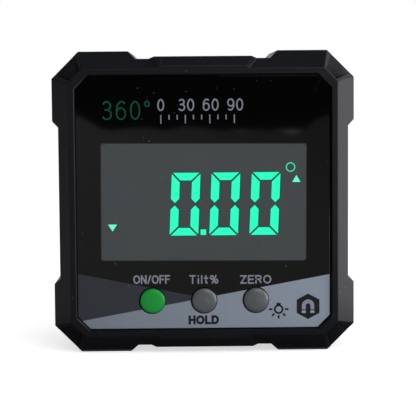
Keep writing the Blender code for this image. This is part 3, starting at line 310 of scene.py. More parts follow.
def grained(
    name, colour, roughness, metallic=0.0, specular=0.5, grain=0.2 * MM, depth=0.002 * MM, mottle=0.12,
    dust=False,
):
    """A finish with an even grain, whose colour and gloss wander a little over the surface."""
    made = bpy.data.materials.new(name)
    made.use_nodes = True
    tree = made.node_tree
    shader = tree.nodes["Principled BSDF"]
    shader.inputs["Metallic"].default_value = metallic
    shader.inputs["Specular IOR Level"].default_value = specular
    place = tree.nodes.new("ShaderNodeTexCoord").outputs["Object"]

    def noise(size, detail):
        made_noise = tree.nodes.new("ShaderNodeTexNoise")
        made_noise.inputs["Scale"].default_value = 1 / size
        made_noise.inputs["Detail"].default_value = detail
        tree.links.new(place, made_noise.inputs["Vector"])
        return made_noise.outputs["Fac"]

    def mixed(factor, first, second):
        mix = tree.nodes.new("ShaderNodeMix")
        mix.data_type = "RGBA"
        tree.links.new(factor, mix.inputs["Factor"])
        for socket, value in ((mix.inputs[6], first), (mix.inputs[7], second)):
            if isinstance(value, tuple):
                socket.default_value = (*value, 1)
            else:
                tree.links.new(value, socket)
        return mix.outputs[2]

    broad = noise(MOTTLE_SIZE, MOTTLE_DETAIL)
    darker = tuple(part * (1 - mottle) for part in colour)
    lighter = tuple(part * (1 + mottle) for part in colour)
    tint = mixed(broad, darker, lighter)
    if dust:
        cells = tree.nodes.new("ShaderNodeTexVoronoi")
        cells.inputs["Scale"].default_value = 1 / DUST_SPACING
        tree.links.new(place, cells.inputs["Vector"])
        near = tree.nodes.new("ShaderNodeMath")
        near.operation = "LESS_THAN"
        near.inputs[1].default_value = DUST_SIZE
        tree.links.new(cells.outputs["Distance"], near.inputs[0])
        tint = mixed(near.outputs[0], tint, DUST_COLOUR)
    tree.links.new(tint, shader.inputs["Base Color"])
    gloss = tree.nodes.new("ShaderNodeMapRange")
    gloss.inputs["To Min"].default_value = roughness * (1 - GLOSS_SPREAD)
    gloss.inputs["To Max"].default_value = roughness * (1 + GLOSS_SPREAD)
    tree.links.new(broad, gloss.inputs["Value"])
    tree.links.new(gloss.outputs["Result"], shader.inputs["Roughness"])
    if depth:
        bump = tree.nodes.new("ShaderNodeBump")
        bump.inputs["Distance"].default_value = depth
        tree.links.new(noise(grain, GRAIN_DETAIL), bump.inputs["Height"])
        tree.links.new(bump.outputs["Normal"], shader.inputs["Normal"])
    return made


def carried(bm, name, finish, body="housing", replaced=()):
    """Makes a piece from a bmesh, smooth up to its sharp edges, on a body."""
    bmesh.ops.recalc_face_normals(bm, faces=bm.faces)
    mesh = bpy.data.meshes.new(name)
    bm.to_mesh(mesh)
    bm.free()
    for each in finish if isinstance(finish, (list, tuple)) else [finish]:
        mesh.materials.append(each)
    mesh.shade_smooth()
    mesh.set_sharp_from_angle(angle=math.radians(SMOOTH_ANGLE))
    piece = bpy.data.objects.new(name, mesh)
    bpy.context.scene.collection.objects.link(piece)
    even = piece.modifiers.new("Even", "WEIGHTED_NORMAL")
    even.keep_sharp = True
    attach(piece, body)
    if replaced:
        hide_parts(*replaced)
    return piece


def corner_frame(side_x, side_z, cut):
    """The middle of a corner facet's inner edge for a rim cut, the facet's directions and its outer end."""
    half = (CAD_HIGH.x - CAD_LOW.x) / 2
    rim = half - FRONT_BEVEL - cut / 2
    rise = (half - CORNER_CUT / 2 - rim) * math.sqrt(2)
    corner = Vector((middle.x + side_x * rim, CAD_LOW.y, middle.z + side_z * rim))
    outward = Vector((side_x, 0, side_z)).normalized()
    across = Vector((side_x, 0, -side_z)).normalized()
    along = (outward * rise + Vector((0, FRONT_BEVEL, 0))).normalized()
    off = (outward * FRONT_BEVEL - Vector((0, rise, 0))).normalized()
    return corner, across, along, off, corner.dot(outward) + rise


def shape_pockets(bm):
    """Widens each corner facet at the rim, narrows its pocket, rings the pocket's floor with a groove and
    tips the floor forwards. Returns the pockets' points."""
    found = set()
    widening = (POCKET_OUTER_HALF - POCKET_INNER_HALF) / FRONT_BEVEL
    turn = math.atan(widening)
    for side_x, side_z in ((1, 1), (1, -1), (-1, -1), (-1, 1)):
        outward = Vector((side_x, 0, side_z)).normalized()
        corner, across, along, off = corner_frame(side_x, side_z, RIM_CORNER_CUT)[:4]
        new_corner = corner_frame(side_x, side_z, NEW_RIM_CUT)[0]
        pocket = []
        for vert in bm.verts:
            place = vert.co - corner
            width, reach, height = place.dot(across), place.dot(along), place.dot(off)
            if max(abs(width), abs(reach), -height) > POCKET_REACH or height > AT_EDGE:
                continue
            if abs(reach) < AT_EDGE and abs(height) < AT_EDGE:
                vert.co = new_corner + across * math.copysign(NEW_RIM_CUT / math.sqrt(2), width)
            elif reach > AT_EDGE and abs(width) < POCKET_HALF and height > -POCKET_DEPTH - AT_EDGE:
                pocket.append((vert, math.copysign(1, width), height))
        corner, across, along, off, end = corner_frame(side_x, side_z, NEW_RIM_CUT)
        for vert, side, height in pocket:
            found.add(vert)
            if abs(vert.co.dot(outward) - end) < AT_EDGE:
                half = POCKET_INNER_HALF + widening * (vert.co - corner).dot(along)
                vert.co += across * (side * half - (vert.co - corner).dot(across))
            else:
                half = POCKET_INNER_HALF + widening * POCKET_RIB / 2
                vert.co = corner + across * side * half + along * POCKET_RIB / 2 + off * height

        def on_floor(face):
            depths = [-(vert.co - corner).dot(off) / POCKET_DEPTH for vert in face.verts]
            return FLOOR_BAND[0] < min(depths) and max(depths) < FLOOR_BAND[1]

        def floor():
            return [face for face in {face for vert in found for face in vert.link_faces} if on_floor(face)]

        walls = [(corner + along * POCKET_RIB / 2, along)]
        for side in (1, -1):
            walls.append((corner + across * side * POCKET_INNER_HALF,
                          along * math.sin(turn) - across * side * math.cos(turn)))
        for (point, inwards), width in zip(walls, (END_GROOVE, SIDE_GROOVE, SIDE_GROOVE)):
            parts = list({item for face in floor() for item in (face, *face.verts, *face.edges)})
            cut = bmesh.ops.bisect_plane(
                bm, geom=parts, plane_co=point + inwards * width, plane_no=inwards, dist=CUT_REACH,
            )
            found.update(item for item in cut["geom_cut"] if isinstance(item, bmesh.types.BMVert))
        for vert in {vert for face in floor() for vert in face.verts}:
            reaches = [(vert.co - point).dot(inwards) for point, inwards in walls]
            is_at_wall = min(reaches) < AT_WALL
            sink = FLOOR_SINK if reaches[0] < END_GROOVE + AT_EDGE else 0.0
            if abs(vert.co.dot(outward) - end) < AT_EDGE:
                vert.co.y -= 0.0 if is_at_wall else FLOOR_RISE
            elif reaches[0] < AT_WALL:
                vert.co += along * END_GROOVE_LEAN - off * END_GROOVE_DEPTH
            else:
                vert.co -= off * (sink + (SIDE_GROOVE_DEPTH if is_at_wall else 0.0))
    return found


def join_flat(bm, y):
    """Joins the flat faces at a depth into an upper and a lower one, so that a bevel meets no slivers."""
    def is_at_depth(item):
        return all(abs(vert.co.y - y) < SAME_DEPTH for vert in item.verts)

    faces = [face for face in bm.faces if is_at_depth(face)]
    around = list({item for face in faces for item in (*face.verts, *face.edges)})
    bmesh.ops.bisect_plane(bm, geom=faces + around, plane_co=middle, plane_no=(0, 0, 1), dist=CUT_REACH)
    spare = []
    flat = math.radians(FLAT_ANGLE)
    for edge in bm.edges:
        is_middle = all(abs(vert.co.z - middle.z) < SAME_DEPTH for vert in edge.verts)
        if is_at_depth(edge) and edge.is_manifold and edge.calc_face_angle(1) < flat and not is_middle:
            spare.append(edge)
    bmesh.ops.dissolve_edges(bm, edges=spare, use_verts=False)


def is_at_recess(place):
    """Whether a point lies on the rim's inner edge, round the panel."""
    across, up = abs(place.x - middle.x), abs(place.z - middle.z)
    is_inside = max(across, up) < OUTSIDE_OF_RECESS and across + up < OUTSIDE_OF_RECESS_CORNER
    return is_inside and abs(place.y - CAD_LOW.y) < AT_EDGE


def moulded(node, radius, is_outer):
    """A copy of a CAD solid as flat faces, with its outer edges rounded and its recess chamfered."""
    bm = bmesh.new()
    bm.from_mesh(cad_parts[node].data)
    bmesh.ops.remove_doubles(bm, verts=bm.verts, dist=SAME_POINT)
    bmesh.ops.dissolve_limit(bm, angle_limit=math.radians(FLAT_ANGLE), verts=bm.verts, edges=bm.edges)
    pockets = shape_pockets(bm) if node == "front_shell" else set()
    for depth in (CAD_LOW.y, CAD_HIGH.y):
        join_flat(bm, depth)
    bm.normal_update()
    limit = math.radians(SHARP_ANGLE)
    chosen = []
    chamfered = []
    for edge in bm.edges:
        if not edge.is_manifold or not edge.is_convex or edge.calc_face_angle(0) < limit:
            continue
        if pockets.intersection(edge.verts):
            continue
        place = (edge.verts[0].co + edge.verts[1].co) / 2
        if is_outer(place):
            (chamfered if is_at_recess(place) else chosen).append(edge)
    for edges, offset, steps in ((chosen, radius, EDGE_STEPS), (chamfered, RECESS_CHAMFER, 1)):
        bmesh.ops.bevel(
            bm, geom=[edge for edge in edges if edge.is_valid], offset=offset, offset_type="OFFSET",
            affect="EDGES", segments=steps, profile=0.5, material=-1, clamp_overlap=False, loop_slide=False,
        )
    return bm


housing_finish = grained(
    "satin_black_plastic", HOUSING_COLOUR, HOUSING_ROUGHNESS, specular=HOUSING_SPECULAR, grain=HOUSING_GRAIN,
    depth=HOUSING_GRAIN_DEPTH, dust=True,
)


def on_the_outside(place):
    """Whether a point of a shell lies outside the panel's recess and the cavity."""
    across, up = abs(place.x - middle.x), abs(place.z - middle.z)
    return max(across, up) > INSIDE_OF_RIM or across + up > INSIDE_OF_CORNER


for node in ("front_shell", "rear_shell"):
    carried(moulded(node, EDGE_RADIUS, on_the_outside), node + "_moulding", housing_finish,
            replaced=[node])
carried(moulded("battery_door", EDGE_RADIUS, lambda place: True), "battery_door_moulding", housing_finish,
        replaced=["battery_door"])


# The front panel is a glossy plate of clear plastic, printed on its back and glued into the front shell.
# Its print is black with a slate wedge at the left and a light grey field below a rising line. The light
# field's colour also carries painted light: it is made lighter towards the right.
BLACK_PRINT = (0.0010, 0.0012, 0.0012)
SLATE_PRINT = (0.0280, 0.0320, 0.0420)
LIGHT_PRINT = (0.205, 0.240, 0.292)
# Painted light: the light field's colour is scaled by the first share at its left edge and the second at its
# right.
PAINTED_LIGHT_AT_LEFT = 0.90
PAINTED_LIGHT_AT_RIGHT = 1.36
PANEL_GLOSS = 0.035
PANEL_LEFT_GROWTH = 0.25 * MM
PANEL_RIGHT_GROWTH = 0.02 * MM
PANEL_HEIGHT_GROWTH = 0.10 * MM
PANEL_CORNER = 2.5 * MM
PANEL_EDGE = 0.09 * MM
PRINT_CUT_REACH = 0.0005 * MM
BUTTON_CLEARANCE = 0.13 * MM
BUTTON_SAG = (0.12 * MM, -0.08 * MM)
FLANGE_OVERHANG = 0.8 * MM
HOLE_SIDES = 72
PANEL_LINE = ((-24.47, -23.64), (25.12, -14.64))
WEDGE_LINE = ((-25.26, -14.18), (-0.08, -19.22))
BUTTON_NODES = ("button_on_off", "button_hold", "button_zero")

panel_size = panel_high - panel_low
PANEL_FRONT = panel_low.y


def on_panel(x, z, proud=0.0):
    """A point of the panel's front, from millimetres right of and above its middle."""
    return Vector((panel_middle.x + x * MM, PANEL_FRONT - proud, panel_middle.z + z * MM))


def box_mesh(low, high):
    """A bmesh with a box between two corners."""
    bm = bmesh.new()
    place = Matrix.Translation((low + high) / 2) @ Matrix.Diagonal((*(high - low), 1))
    bmesh.ops.create_cube(bm, size=1, matrix=place)
    return bm


lower_growth = Vector((PANEL_LEFT_GROWTH, 0, PANEL_HEIGHT_GROWTH))
upper_growth = Vector((PANEL_RIGHT_GROWTH, 0, PANEL_HEIGHT_GROWTH))
bm = box_mesh(panel_low - lower_growth, panel_high + upper_growth)
depth_edges = [edge for edge in bm.edges if abs(edge.verts[0].co.y - edge.verts[1].co.y) > panel_size.y / 2]
bmesh.ops.bevel(bm, geom=depth_edges, offset=PANEL_CORNER, offset_type="OFFSET", affect="EDGES", segments=1,
                profile=0.5, material=-1)
front_edges = [edge for edge in bm.edges if all(abs(v.co.y - PANEL_FRONT) < CUT_REACH for v in edge.verts)]
bmesh.ops.bevel(bm, geom=front_edges, offset=PANEL_EDGE, offset_type="OFFSET", affect="EDGES", segments=2,
                profile=0.5, material=-1)
bmesh.ops.recalc_face_normals(bm, faces=bm.faces)
blank_mesh = bpy.data.meshes.new("panel_blank")
bm.to_mesh(blank_mesh)
bm.free()
blank = bpy.data.objects.new("panel_blank", blank_mesh)
bpy.context.scene.collection.objects.link(blank)

drills = []
for node in BUTTON_NODES:
    low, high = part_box(node)
    place = (low + high) / 2
    bore = (high.x - low.x) / 2 - FLANGE_OVERHANG + BUTTON_CLEARANCE
    bm = bmesh.new()
    hole_place = (place.x - BUTTON_SAG[0], panel_middle.y, place.z - BUTTON_SAG[1])
    lie = Matrix.Translation(hole_place) @ Matrix.Rotation(math.pi / 2, 4, "X")
    bmesh.ops.create_cone(bm, cap_ends=True, segments=HOLE_SIDES, radius1=bore, radius2=bore,
                          depth=4 * panel_size.y, matrix=lie)
    drill_mesh = bpy.data.meshes.new("drill")
    bm.to_mesh(drill_mesh)
    bm.free()
    drill = bpy.data.objects.new("drill", drill_mesh)
    bpy.context.scene.collection.objects.link(drill)
    hole = blank.modifiers.new("Hole", "BOOLEAN")
    hole.solver = "EXACT"
    hole.object = drill
    drills.append(drill)

bpy.context.view_layer.update()
drilled = bpy.data.meshes.new_from_object(blank.evaluated_get(bpy.context.evaluated_depsgraph_get()))
bm = bmesh.new()
bm.from_mesh(drilled)
for spare in drills + [blank]:
    bpy.data.objects.remove(spare, do_unlink=True)
bmesh.ops.remove_doubles(bm, verts=bm.verts, dist=CUT_REACH)


def cut_along(bm, line, faces):
    """Cuts faces of the panel's front along a line, and returns a test for what lies below it."""
    start, end = (on_panel(*point) for point in line)
    along = (end - start).normalized()
    upwards = Vector((-along.z, 0, along.x))
    geometry = list({item for face in faces for item in (*face.verts, *face.edges)}) + list(faces)
    bmesh.ops.bisect_plane(bm, geom=geometry, plane_co=start, plane_no=upwards, dist=PRINT_CUT_REACH)
    return lambda point: (point - start).dot(upwards) < 0


def front_faces(bm):
    """The faces of the panel's front."""
    return [face for face in bm.faces if abs(face.calc_center_median().y - PANEL_FRONT) < SAME_POINT]


below_line = cut_along(bm, PANEL_LINE, front_faces(bm))
above = [face for face in front_faces(bm) if not below_line(face.calc_center_median())]
below_wedge = cut_along(bm, WEDGE_LINE, above)
for face in front_faces(bm):
    point = face.calc_center_median()
    if below_line(point):
        face.material_index = 2
    elif below_wedge(point):
        face.material_index = 1

black_finish = grained("black_print", BLACK_PRINT, PANEL_GLOSS, depth=0.0, mottle=0.05, dust=True)
slate_finish = grained("slate_print", SLATE_PRINT, PANEL_GLOSS, depth=0.0, mottle=0.05, dust=True)
light_finish = grained("light_print_and_painted_light", LIGHT_PRINT, PANEL_GLOSS, depth=0.0, mottle=0.02, dust=True)
# Painted light: the light field's colour is scaled up along x, so that it is lighter towards the right.
tree = light_finish.node_tree
shader = tree.nodes["Principled BSDF"]
tint = shader.inputs["Base Color"].links[0].from_socket
parts = tree.nodes.new("ShaderNodeSeparateXYZ")
tree.links.new(tree.nodes.new("ShaderNodeTexCoord").outputs["Object"], parts.inputs["Vector"])
rise = tree.nodes.new("ShaderNodeMapRange")
rise.inputs["From Min"].default_value = panel_low.x
rise.inputs["From Max"].default_value = panel_high.x
rise.inputs["To Min"].default_value = PAINTED_LIGHT_AT_LEFT
rise.inputs["To Max"].default_value = PAINTED_LIGHT_AT_RIGHT
tree.links.new(parts.outputs["X"], rise.inputs["Value"])
painted_light_scaled = tree.nodes.new("ShaderNodeVectorMath")
painted_light_scaled.operation = "SCALE"
tree.links.new(tint, painted_light_scaled.inputs[0])
tree.links.new(rise.outputs["Result"], painted_light_scaled.inputs["Scale"])
tree.links.new(painted_light_scaled.outputs[0], shader.inputs["Base Color"])
carried(bm, "printed_panel", [black_finish, slate_finish, light_finish],
        replaced=["front_panel"])


# The display shows through a clear window of the panel: grey segment glass with slanting digits, lit green
# from behind. Each lit segment has a thin dark edge, where the light guide's glow ends.
WINDOW = ((-20.56, -11.56), (20.5, 11.86))
WINDOW_CORNER = 0.5
WINDOW_TURN = -0.4
WINDOW_PROUD = 0.012 * MM
EDGE_PROUD = 0.018 * MM
LIT_PROUD = 0.026 * MM
WINDOW_COLOUR = (0.0645, 0.0715, 0.0755)
WINDOW_SOFT_EDGE = 0.16
WINDOW_EDGE_COLOUR = (0.020, 0.0225, 0.0235)
LIT_COLOUR = (0.022, 1.0, 0.535)
ARROW_COLOUR = (0.140, 1.0, 0.63)
EDGE_COLOUR = (0.0015, 0.095, 0.060)
LIT_GLOW = 0.95
RING_GLOW = 0.76
DIGIT_WIDTH = 5.76
DIGIT_HEIGHT = 12.64
SEGMENT = 1.66
BAR = 1.54
MITRE_GAP = 0.25
TIP_GAP = 0.26
SLANT = 0.045
DIGIT_MIDDLES = (-3.78, 4.20, 12.26)
DIGIT_MIDDLE_Z = -0.22
EDGE_GROWTH = 0.15
POINT = ((-0.14, -5.90), 0.555)
UP_ARROW = ((17.77, 4.07), (19.43, 4.07), (18.60, 5.47))
DOWN_ARROW = ((-19.28, -4.20), (-17.48, -4.20), (-18.38, -5.60))
DEGREE = ((17.43, 7.07), 0.95, 0.74)
RING_SIDES = 40


def add_plate(bm, points, back, front):
    """Adds a flat plate of an outline given in millimetres from the panel's middle."""
    face = bm.faces.new([bm.verts.new(on_panel(x, z, back)) for x, z in points])
    lifted = bmesh.ops.extrude_face_region(bm, geom=[face], use_keep_orig=True)
    verts = [item for item in lifted["geom"] if isinstance(item, bmesh.types.BMVert)]
    bmesh.ops.translate(bm, verts=verts, vec=(0, back - front, 0))


def rounded_rectangle(low, high, radius, steps=6):
    """A rectangle with round corners."""
    points = []
    left, bottom, right, top = low[0] + radius, low[1] + radius, high[0] - radius, high[1] - radius
    for turn, (x, z) in enumerate(((right, top), (left, top), (left, bottom), (right, bottom))):
        for step in range(steps + 1):
            angle = math.pi / 2 * (turn + step / steps)
            points.append((x + radius * math.cos(angle), z + radius * math.sin(angle)))
    return points


def turned(points, degrees):
    """Points turned about the origin."""
    cosine, sine = math.cos(math.radians(degrees)), math.sin(math.radians(degrees))
    return [(x * cosine - z * sine, x * sine + z * cosine) for x, z in points]


def segments(grow):
    """The six lit segments of a nought, about its middle, each grown by a margin."""
    half, top = DIGIT_WIDTH / 2, DIGIT_HEIGHT / 2
    gap, tip = MITRE_GAP - grow * math.sqrt(2), TIP_GAP - grow
    outer, inner = half + grow, half - SEGMENT - grow
    shoulder = tip + SEGMENT / 2
    upright = [
        (outer, top - gap), (inner, top - SEGMENT - gap), (inner, shoulder), (half - SEGMENT / 2, tip),
        (outer, shoulder),
    ]
    bar = [
        (gap - half, top + grow), (half - gap, top + grow),
        (half - BAR - gap, top - BAR - grow), (BAR + gap - half, top - BAR - grow),
    ]
    shapes = []
    for up in (1, -1):
        shapes.append([(x, up * z) for x, z in bar])
        for side in (1, -1):
            shapes.append([(side * x, up * z) for x, z in upright])
    return shapes


def noughts(grow):
    """The segments of the display's three slanting noughts, each grown by a margin."""
    shapes = []
    for middle_x in DIGIT_MIDDLES:
        for shape in segments(grow):
            shapes.append([(middle_x + x + SLANT * z, DIGIT_MIDDLE_Z + z) for x, z in shape])
    return shapes


window_finish = grained("segment_glass", WINDOW_COLOUR, PANEL_GLOSS, depth=0.0, mottle=0.05, dust=True)
edge_finish = grained("segment_edge", EDGE_COLOUR, PANEL_GLOSS, depth=0.0, mottle=0.05)
lit_finish = grained("lit_segment", EDGE_COLOUR, PANEL_GLOSS, depth=0.0, mottle=0.05)
shader = lit_finish.node_tree.nodes["Principled BSDF"]
shader.inputs["Emission Color"].default_value = (*LIT_COLOUR, 1)
shader.inputs["Emission Strength"].default_value = LIT_GLOW


def add_ring(bm, centre, outer, inner, back, front):
    """Adds a flat ring."""
    ring = bmesh.new()
    facing = Matrix.Translation(on_panel(*centre, back)) @ Matrix.Rotation(math.pi / 2, 4, "X")
    for radius in (outer, inner):
        bmesh.ops.create_circle(ring, segments=RING_SIDES, radius=radius * MM, matrix=facing)
    bridged = bmesh.ops.bridge_loops(ring, edges=ring.edges)
    lifted = bmesh.ops.extrude_face_region(ring, geom=bridged["faces"], use_keep_orig=True)
    verts = [item for item in lifted["geom"] if isinstance(item, bmesh.types.BMVert)]
    bmesh.ops.translate(ring, verts=verts, vec=(0, back - front, 0))
    made = bpy.data.meshes.new("ring")
    ring.to_mesh(made)
    ring.free()
    bm.from_mesh(made)
    bpy.data.meshes.remove(made)


bm = bmesh.new()
soft = [(x + math.copysign(WINDOW_SOFT_EDGE, x), z + math.copysign(WINDOW_SOFT_EDGE, z)) for x, z in WINDOW]
add_plate(bm, turned(rounded_rectangle(*soft, WINDOW_CORNER), WINDOW_TURN), 0.0, WINDOW_PROUD / 2)
soft_finish = grained("window_edge", WINDOW_EDGE_COLOUR, PANEL_GLOSS, depth=0.0, mottle=0.05)
carried(bm, "display_window_edge", soft_finish)

bm = bmesh.new()
add_plate(bm, turned(rounded_rectangle(*WINDOW, WINDOW_CORNER), WINDOW_TURN), 0.0, WINDOW_PROUD)
carried(bm, "display_window", window_finish)

bm = bmesh.new()
for shape in noughts(EDGE_GROWTH):
    add_plate(bm, shape, WINDOW_PROUD, EDGE_PROUD)
carried(bm, "segment_edges", edge_finish)

bm = bmesh.new()
for shape in noughts(0.0):
    add_plate(bm, shape, EDGE_PROUD, LIT_PROUD)
(x, z), half = POINT
add_plate(bm, [(x + half, z + half), (x - half, z + half), (x - half, z - half), (x + half, z - half)],
          WINDOW_PROUD, LIT_PROUD)
carried(bm, "lit_segments", lit_finish)

bm = bmesh.new()
add_plate(bm, UP_ARROW, WINDOW_PROUD, LIT_PROUD)
add_plate(bm, DOWN_ARROW, WINDOW_PROUD, LIT_PROUD)
arrow_finish = lit_finish.copy()
arrow_finish.name = "lit_arrow"
shader = arrow_finish.node_tree.nodes["Principled BSDF"]
shader.inputs["Emission Color"].default_value = (*ARROW_COLOUR, 1)
carried(bm, "lit_arrows", arrow_finish)

bm = bmesh.new()
add_ring(bm, *DEGREE, WINDOW_PROUD, LIT_PROUD)
ring_finish = lit_finish.copy()
ring_finish.name = "lit_ring"
shader = ring_finish.node_tree.nodes["Principled BSDF"]
shader.inputs["Emission Strength"].default_value = RING_GLOW
carried(bm, "lit_degree_ring", ring_finish)


# The print on the panel is plain grey lettering over the buttons, dark lettering on the light field, and
# plain numbers at the top: a thin green full turn beside a small scale from 0 to 90. Every stroke of it is
# one even line of ink.
PRINT_PROUD = 0.014 * MM
SECOND_PROUD = 0.024 * MM
STROKE_STEP = 0.1
STROKE_LEVELS = 3
SPECK = 0.001
LABEL_COLOUR = (0.225, 0.243, 0.285)
DARK_COLOUR = (0.0070, 0.0090, 0.0130)
TEAL_COLOUR = (0.0060, 0.082, 0.052)
LABELS = (
    ("on_off_label", "ON/OFF", (-14.36, -16.27), (-6.95, -14.50), "grey", 0.31, 0.30),
    ("tilt_label", "Tilt%", (-3.04, -16.35), (2.80, -14.57), "grey", 0.29, 0.38),
    ("zero_label", "ZERO", (7.18, -16.43), (13.50, -14.66), "grey", 0.31, 0.31),
    ("hold_label", "HOLD", (-3.28, -24.60), (2.88, -22.76), "dark", 0.48, 0.34),
    ("full_turn_number", "360\u00b0", (-20.21, 16.75), (-10.60, 20.56), "teal", 0.31, 0.32),
    ("scale_0", "0", (-9.16, 18.45), (-7.76, 20.9), "grey", 0.30, 0.30),
    ("scale_30", "30", (-4.97, 18.45), (-1.77, 20.9), "grey", 0.30, 0.30),
    ("scale_60", "60", (-0.08, 18.45), (3.12, 20.9), "grey", 0.30, 0.30),
    ("scale_90", "90", (4.81, 18.45), (8.01, 20.9), "grey", 0.30, 0.30),
)
TICK_LEFT = -8.46
TICK_PITCH = 1.63
TICKS = 10
TICK_TOP = 17.70
TICK_LENGTHS = (1.75, 0.95, 0.95)
TICK_HALF = 0.12

grey_finish = grained("grey_print", LABEL_COLOUR, PANEL_GLOSS, depth=0.0, mottle=0.03)
dark_finish = grained("dark_print", DARK_COLOUR, PANEL_GLOSS, depth=0.0, mottle=0.03)
teal_finish = grained("green_print", TEAL_COLOUR, PANEL_GLOSS, depth=0.0, mottle=0.03)
PRINTS = {"grey": grey_finish, "dark": dark_finish, "teal": teal_finish}


def oval(x, z, half_width, half_height, start=0, end=360, steps=24):
    """Points along an oval's line from one angle to another, in degrees."""
    points = []
    for step in range(steps + 1):
        turn = math.radians(start + (end - start) * step / steps)
        points.append((x + half_width * math.cos(turn), z + half_height * math.sin(turn)))
    return points


def turned_over(strokes, width):
    """Strokes turned by half a turn, as a six is to a nine."""
    return [[(width - x, 1 - z) for x, z in stroke] for stroke in strokes]


SIX = [oval(0.26, 0.32, 0.26, 0.32), oval(0.30, 0.50, 0.30, 0.50, 50, 180, 12) + [(0, 0.32)]]
# Each letter's width and strokes, for a letter one high.
LETTERS = {
    "O": (0.78, [oval(0.39, 0.5, 0.39, 0.5)]),
    "N": (0.62, [[(0, 0), (0, 1)], [(0, 1), (0.62, 0)], [(0.62, 0), (0.62, 1)]]),
    "/": (0.34, [[(-0.03, -0.09), (0.37, 1.09)]]),
    "F": (0.50, [[(0.50, 1), (0, 1), (0, 0)], [(0, 0.51), (0.44, 0.51)]]),
    "T": (0.64, [[(0, 1), (0.64, 1)], [(0.32, 1), (0.32, 0)]]),
    "i": (0.05, [[(0.025, 0), (0.025, 0.60)], [(0.025, 0.96), (0.025, 0.97)]]),
    "l": (0.05, [[(0.025, 0), (0.025, 1)]]),
    "t": (0.34, [[(0.13, 0.95), (0.13, 0.16), (0.18, 0.04), (0.34, 0.02)], [(-0.03, 0.68), (0.34, 0.68)]]),
    "%": (0.90, [oval(0.18, 0.76, 0.18, 0.24), oval(0.72, 0.24, 0.18, 0.24), [(0.19, -0.07), (0.71, 1.07)]]),
    "Z": (0.58, [[(0, 1), (0.58, 1)], [(0.56, 1), (0.02, 0)], [(0, 0), (0.58, 0)]]),
    "E": (0.54, [[(0.54, 1), (0, 1), (0, 0), (0.54, 0)], [(0, 0.51), (0.50, 0.51)]]),
    "R": (0.60, [[(0, 0), (0, 1), (0.34, 1)] + oval(0.34, 0.76, 0.24, 0.24, 90, -90, 10) + [(0, 0.52)],
                 [(0.34, 0.52), (0.60, 0)]]),
    "H": (0.60, [[(0, 0), (0, 1)], [(0.60, 0), (0.60, 1)], [(0, 0.51), (0.60, 0.51)]]),
    "L": (0.48, [[(0, 1), (0, 0), (0.48, 0)]]),
    "D": (0.64, [[(0, 0), (0, 1), (0.26, 1)] + oval(0.26, 0.5, 0.38, 0.5, 90, -90, 14) + [(0, 0)]]),
    "0": (0.52, [oval(0.26, 0.5, 0.26, 0.5)]),
    "3": (0.50, [oval(0.24, 0.77, 0.22, 0.23, 160, -90, 14) + [(0.16, 0.54)],
                 [(0.16, 0.54)] + oval(0.24, 0.27, 0.26, 0.27, 90, -160, 14)]),
    "6": (0.52, SIX),
    "9": (0.52, turned_over(SIX, 0.52)),
    "\u00b0": (0.26, [oval(0.13, 0.86, 0.13, 0.14)]),
}


def add_words(bm, words, low, high, stroke_width, gap, front):
    """Adds flat lettering that fills the box between two corners, in millimetres from the panel's middle.
    Each stroke lies a hair deeper than the last, so that no two share a face. Level and upright strokes run
    on by half their width."""
    lines = []
    cursor = 0.0
    for letter in words:
        width, strokes = LETTERS[letter]
        lines += [[(cursor + x, z) for x, z in stroke] for stroke in strokes]
        cursor += width + gap
    across = (high[0] - low[0] - stroke_width) / (cursor - gap)
    up = high[1] - low[1] - stroke_width
    walls = bmesh.new()
    for number, line in enumerate(lines):
        sink = -STROKE_STEP * (number % STROKE_LEVELS)
        line = line[:1] + [point for last, point in zip(line, line[1:]) if math.dist(last, point) > SPECK]
        is_closed = math.dist(line[0], line[-1]) < SPECK
        points = [Vector((x * across, sink, z * up)) for x, z in (line[:-1] if is_closed else line)]
        for end, before in () if is_closed else ((0, 1), (-1, -2)):
            run = points[end] - points[before]
            if min(abs(run.x), abs(run.z)) < SPECK:
                points[end] += run.normalized() * stroke_width / 2
        verts = [walls.verts.new(point) for point in points]
        for pair in zip(verts, verts[1:] + verts[:1] if is_closed else verts[1:]):
            walls.edges.new(pair)
    drawn = bmesh.ops.extrude_edge_only(walls, edges=walls.edges)
    lifted = [item for item in drawn["geom"] if isinstance(item, bmesh.types.BMVert)]
    bmesh.ops.translate(walls, verts=lifted, vec=(0, 1, 0))
    mesh = bpy.data.meshes.new("strokes")
    walls.to_mesh(mesh)
    walls.free()
    writer = bpy.data.objects.new("strokes", mesh)
    bpy.context.scene.collection.objects.link(writer)
    ink = writer.modifiers.new("Ink", "SOLIDIFY")
    ink.thickness = stroke_width
    ink.offset = 0
    ink.use_even_offset = True
    bpy.context.view_layer.update()
    drawn = bpy.data.meshes.new_from_object(writer.evaluated_get(bpy.context.evaluated_depsgraph_get()))
    bpy.data.objects.remove(writer, do_unlink=True)
    start = on_panel(low[0] + stroke_width / 2, low[1] + stroke_width / 2)
    drawn.transform(Matrix.Translation(start) @ Matrix.Diagonal((MM, -front, MM, 1)))
    bm.from_mesh(drawn)


for name, words, low, high, colour, stroke_width, gap in LABELS:
    bm = bmesh.new()
    add_words(bm, words, low, high, stroke_width, gap, PRINT_PROUD)
    carried(bm, name, PRINTS[colour])

bm = bmesh.new()
for number in range(TICKS):
    x = TICK_LEFT + number * TICK_PITCH
    left, right = x - TICK_HALF, x + TICK_HALF
    bottom = TICK_TOP - TICK_LENGTHS[number % len(TICK_LENGTHS)]
    add_plate(bm, [(right, TICK_TOP), (left, TICK_TOP), (left, bottom), (right, bottom)], 0.0, PRINT_PROUD)
carried(bm, "scale_ticks", grey_finish)


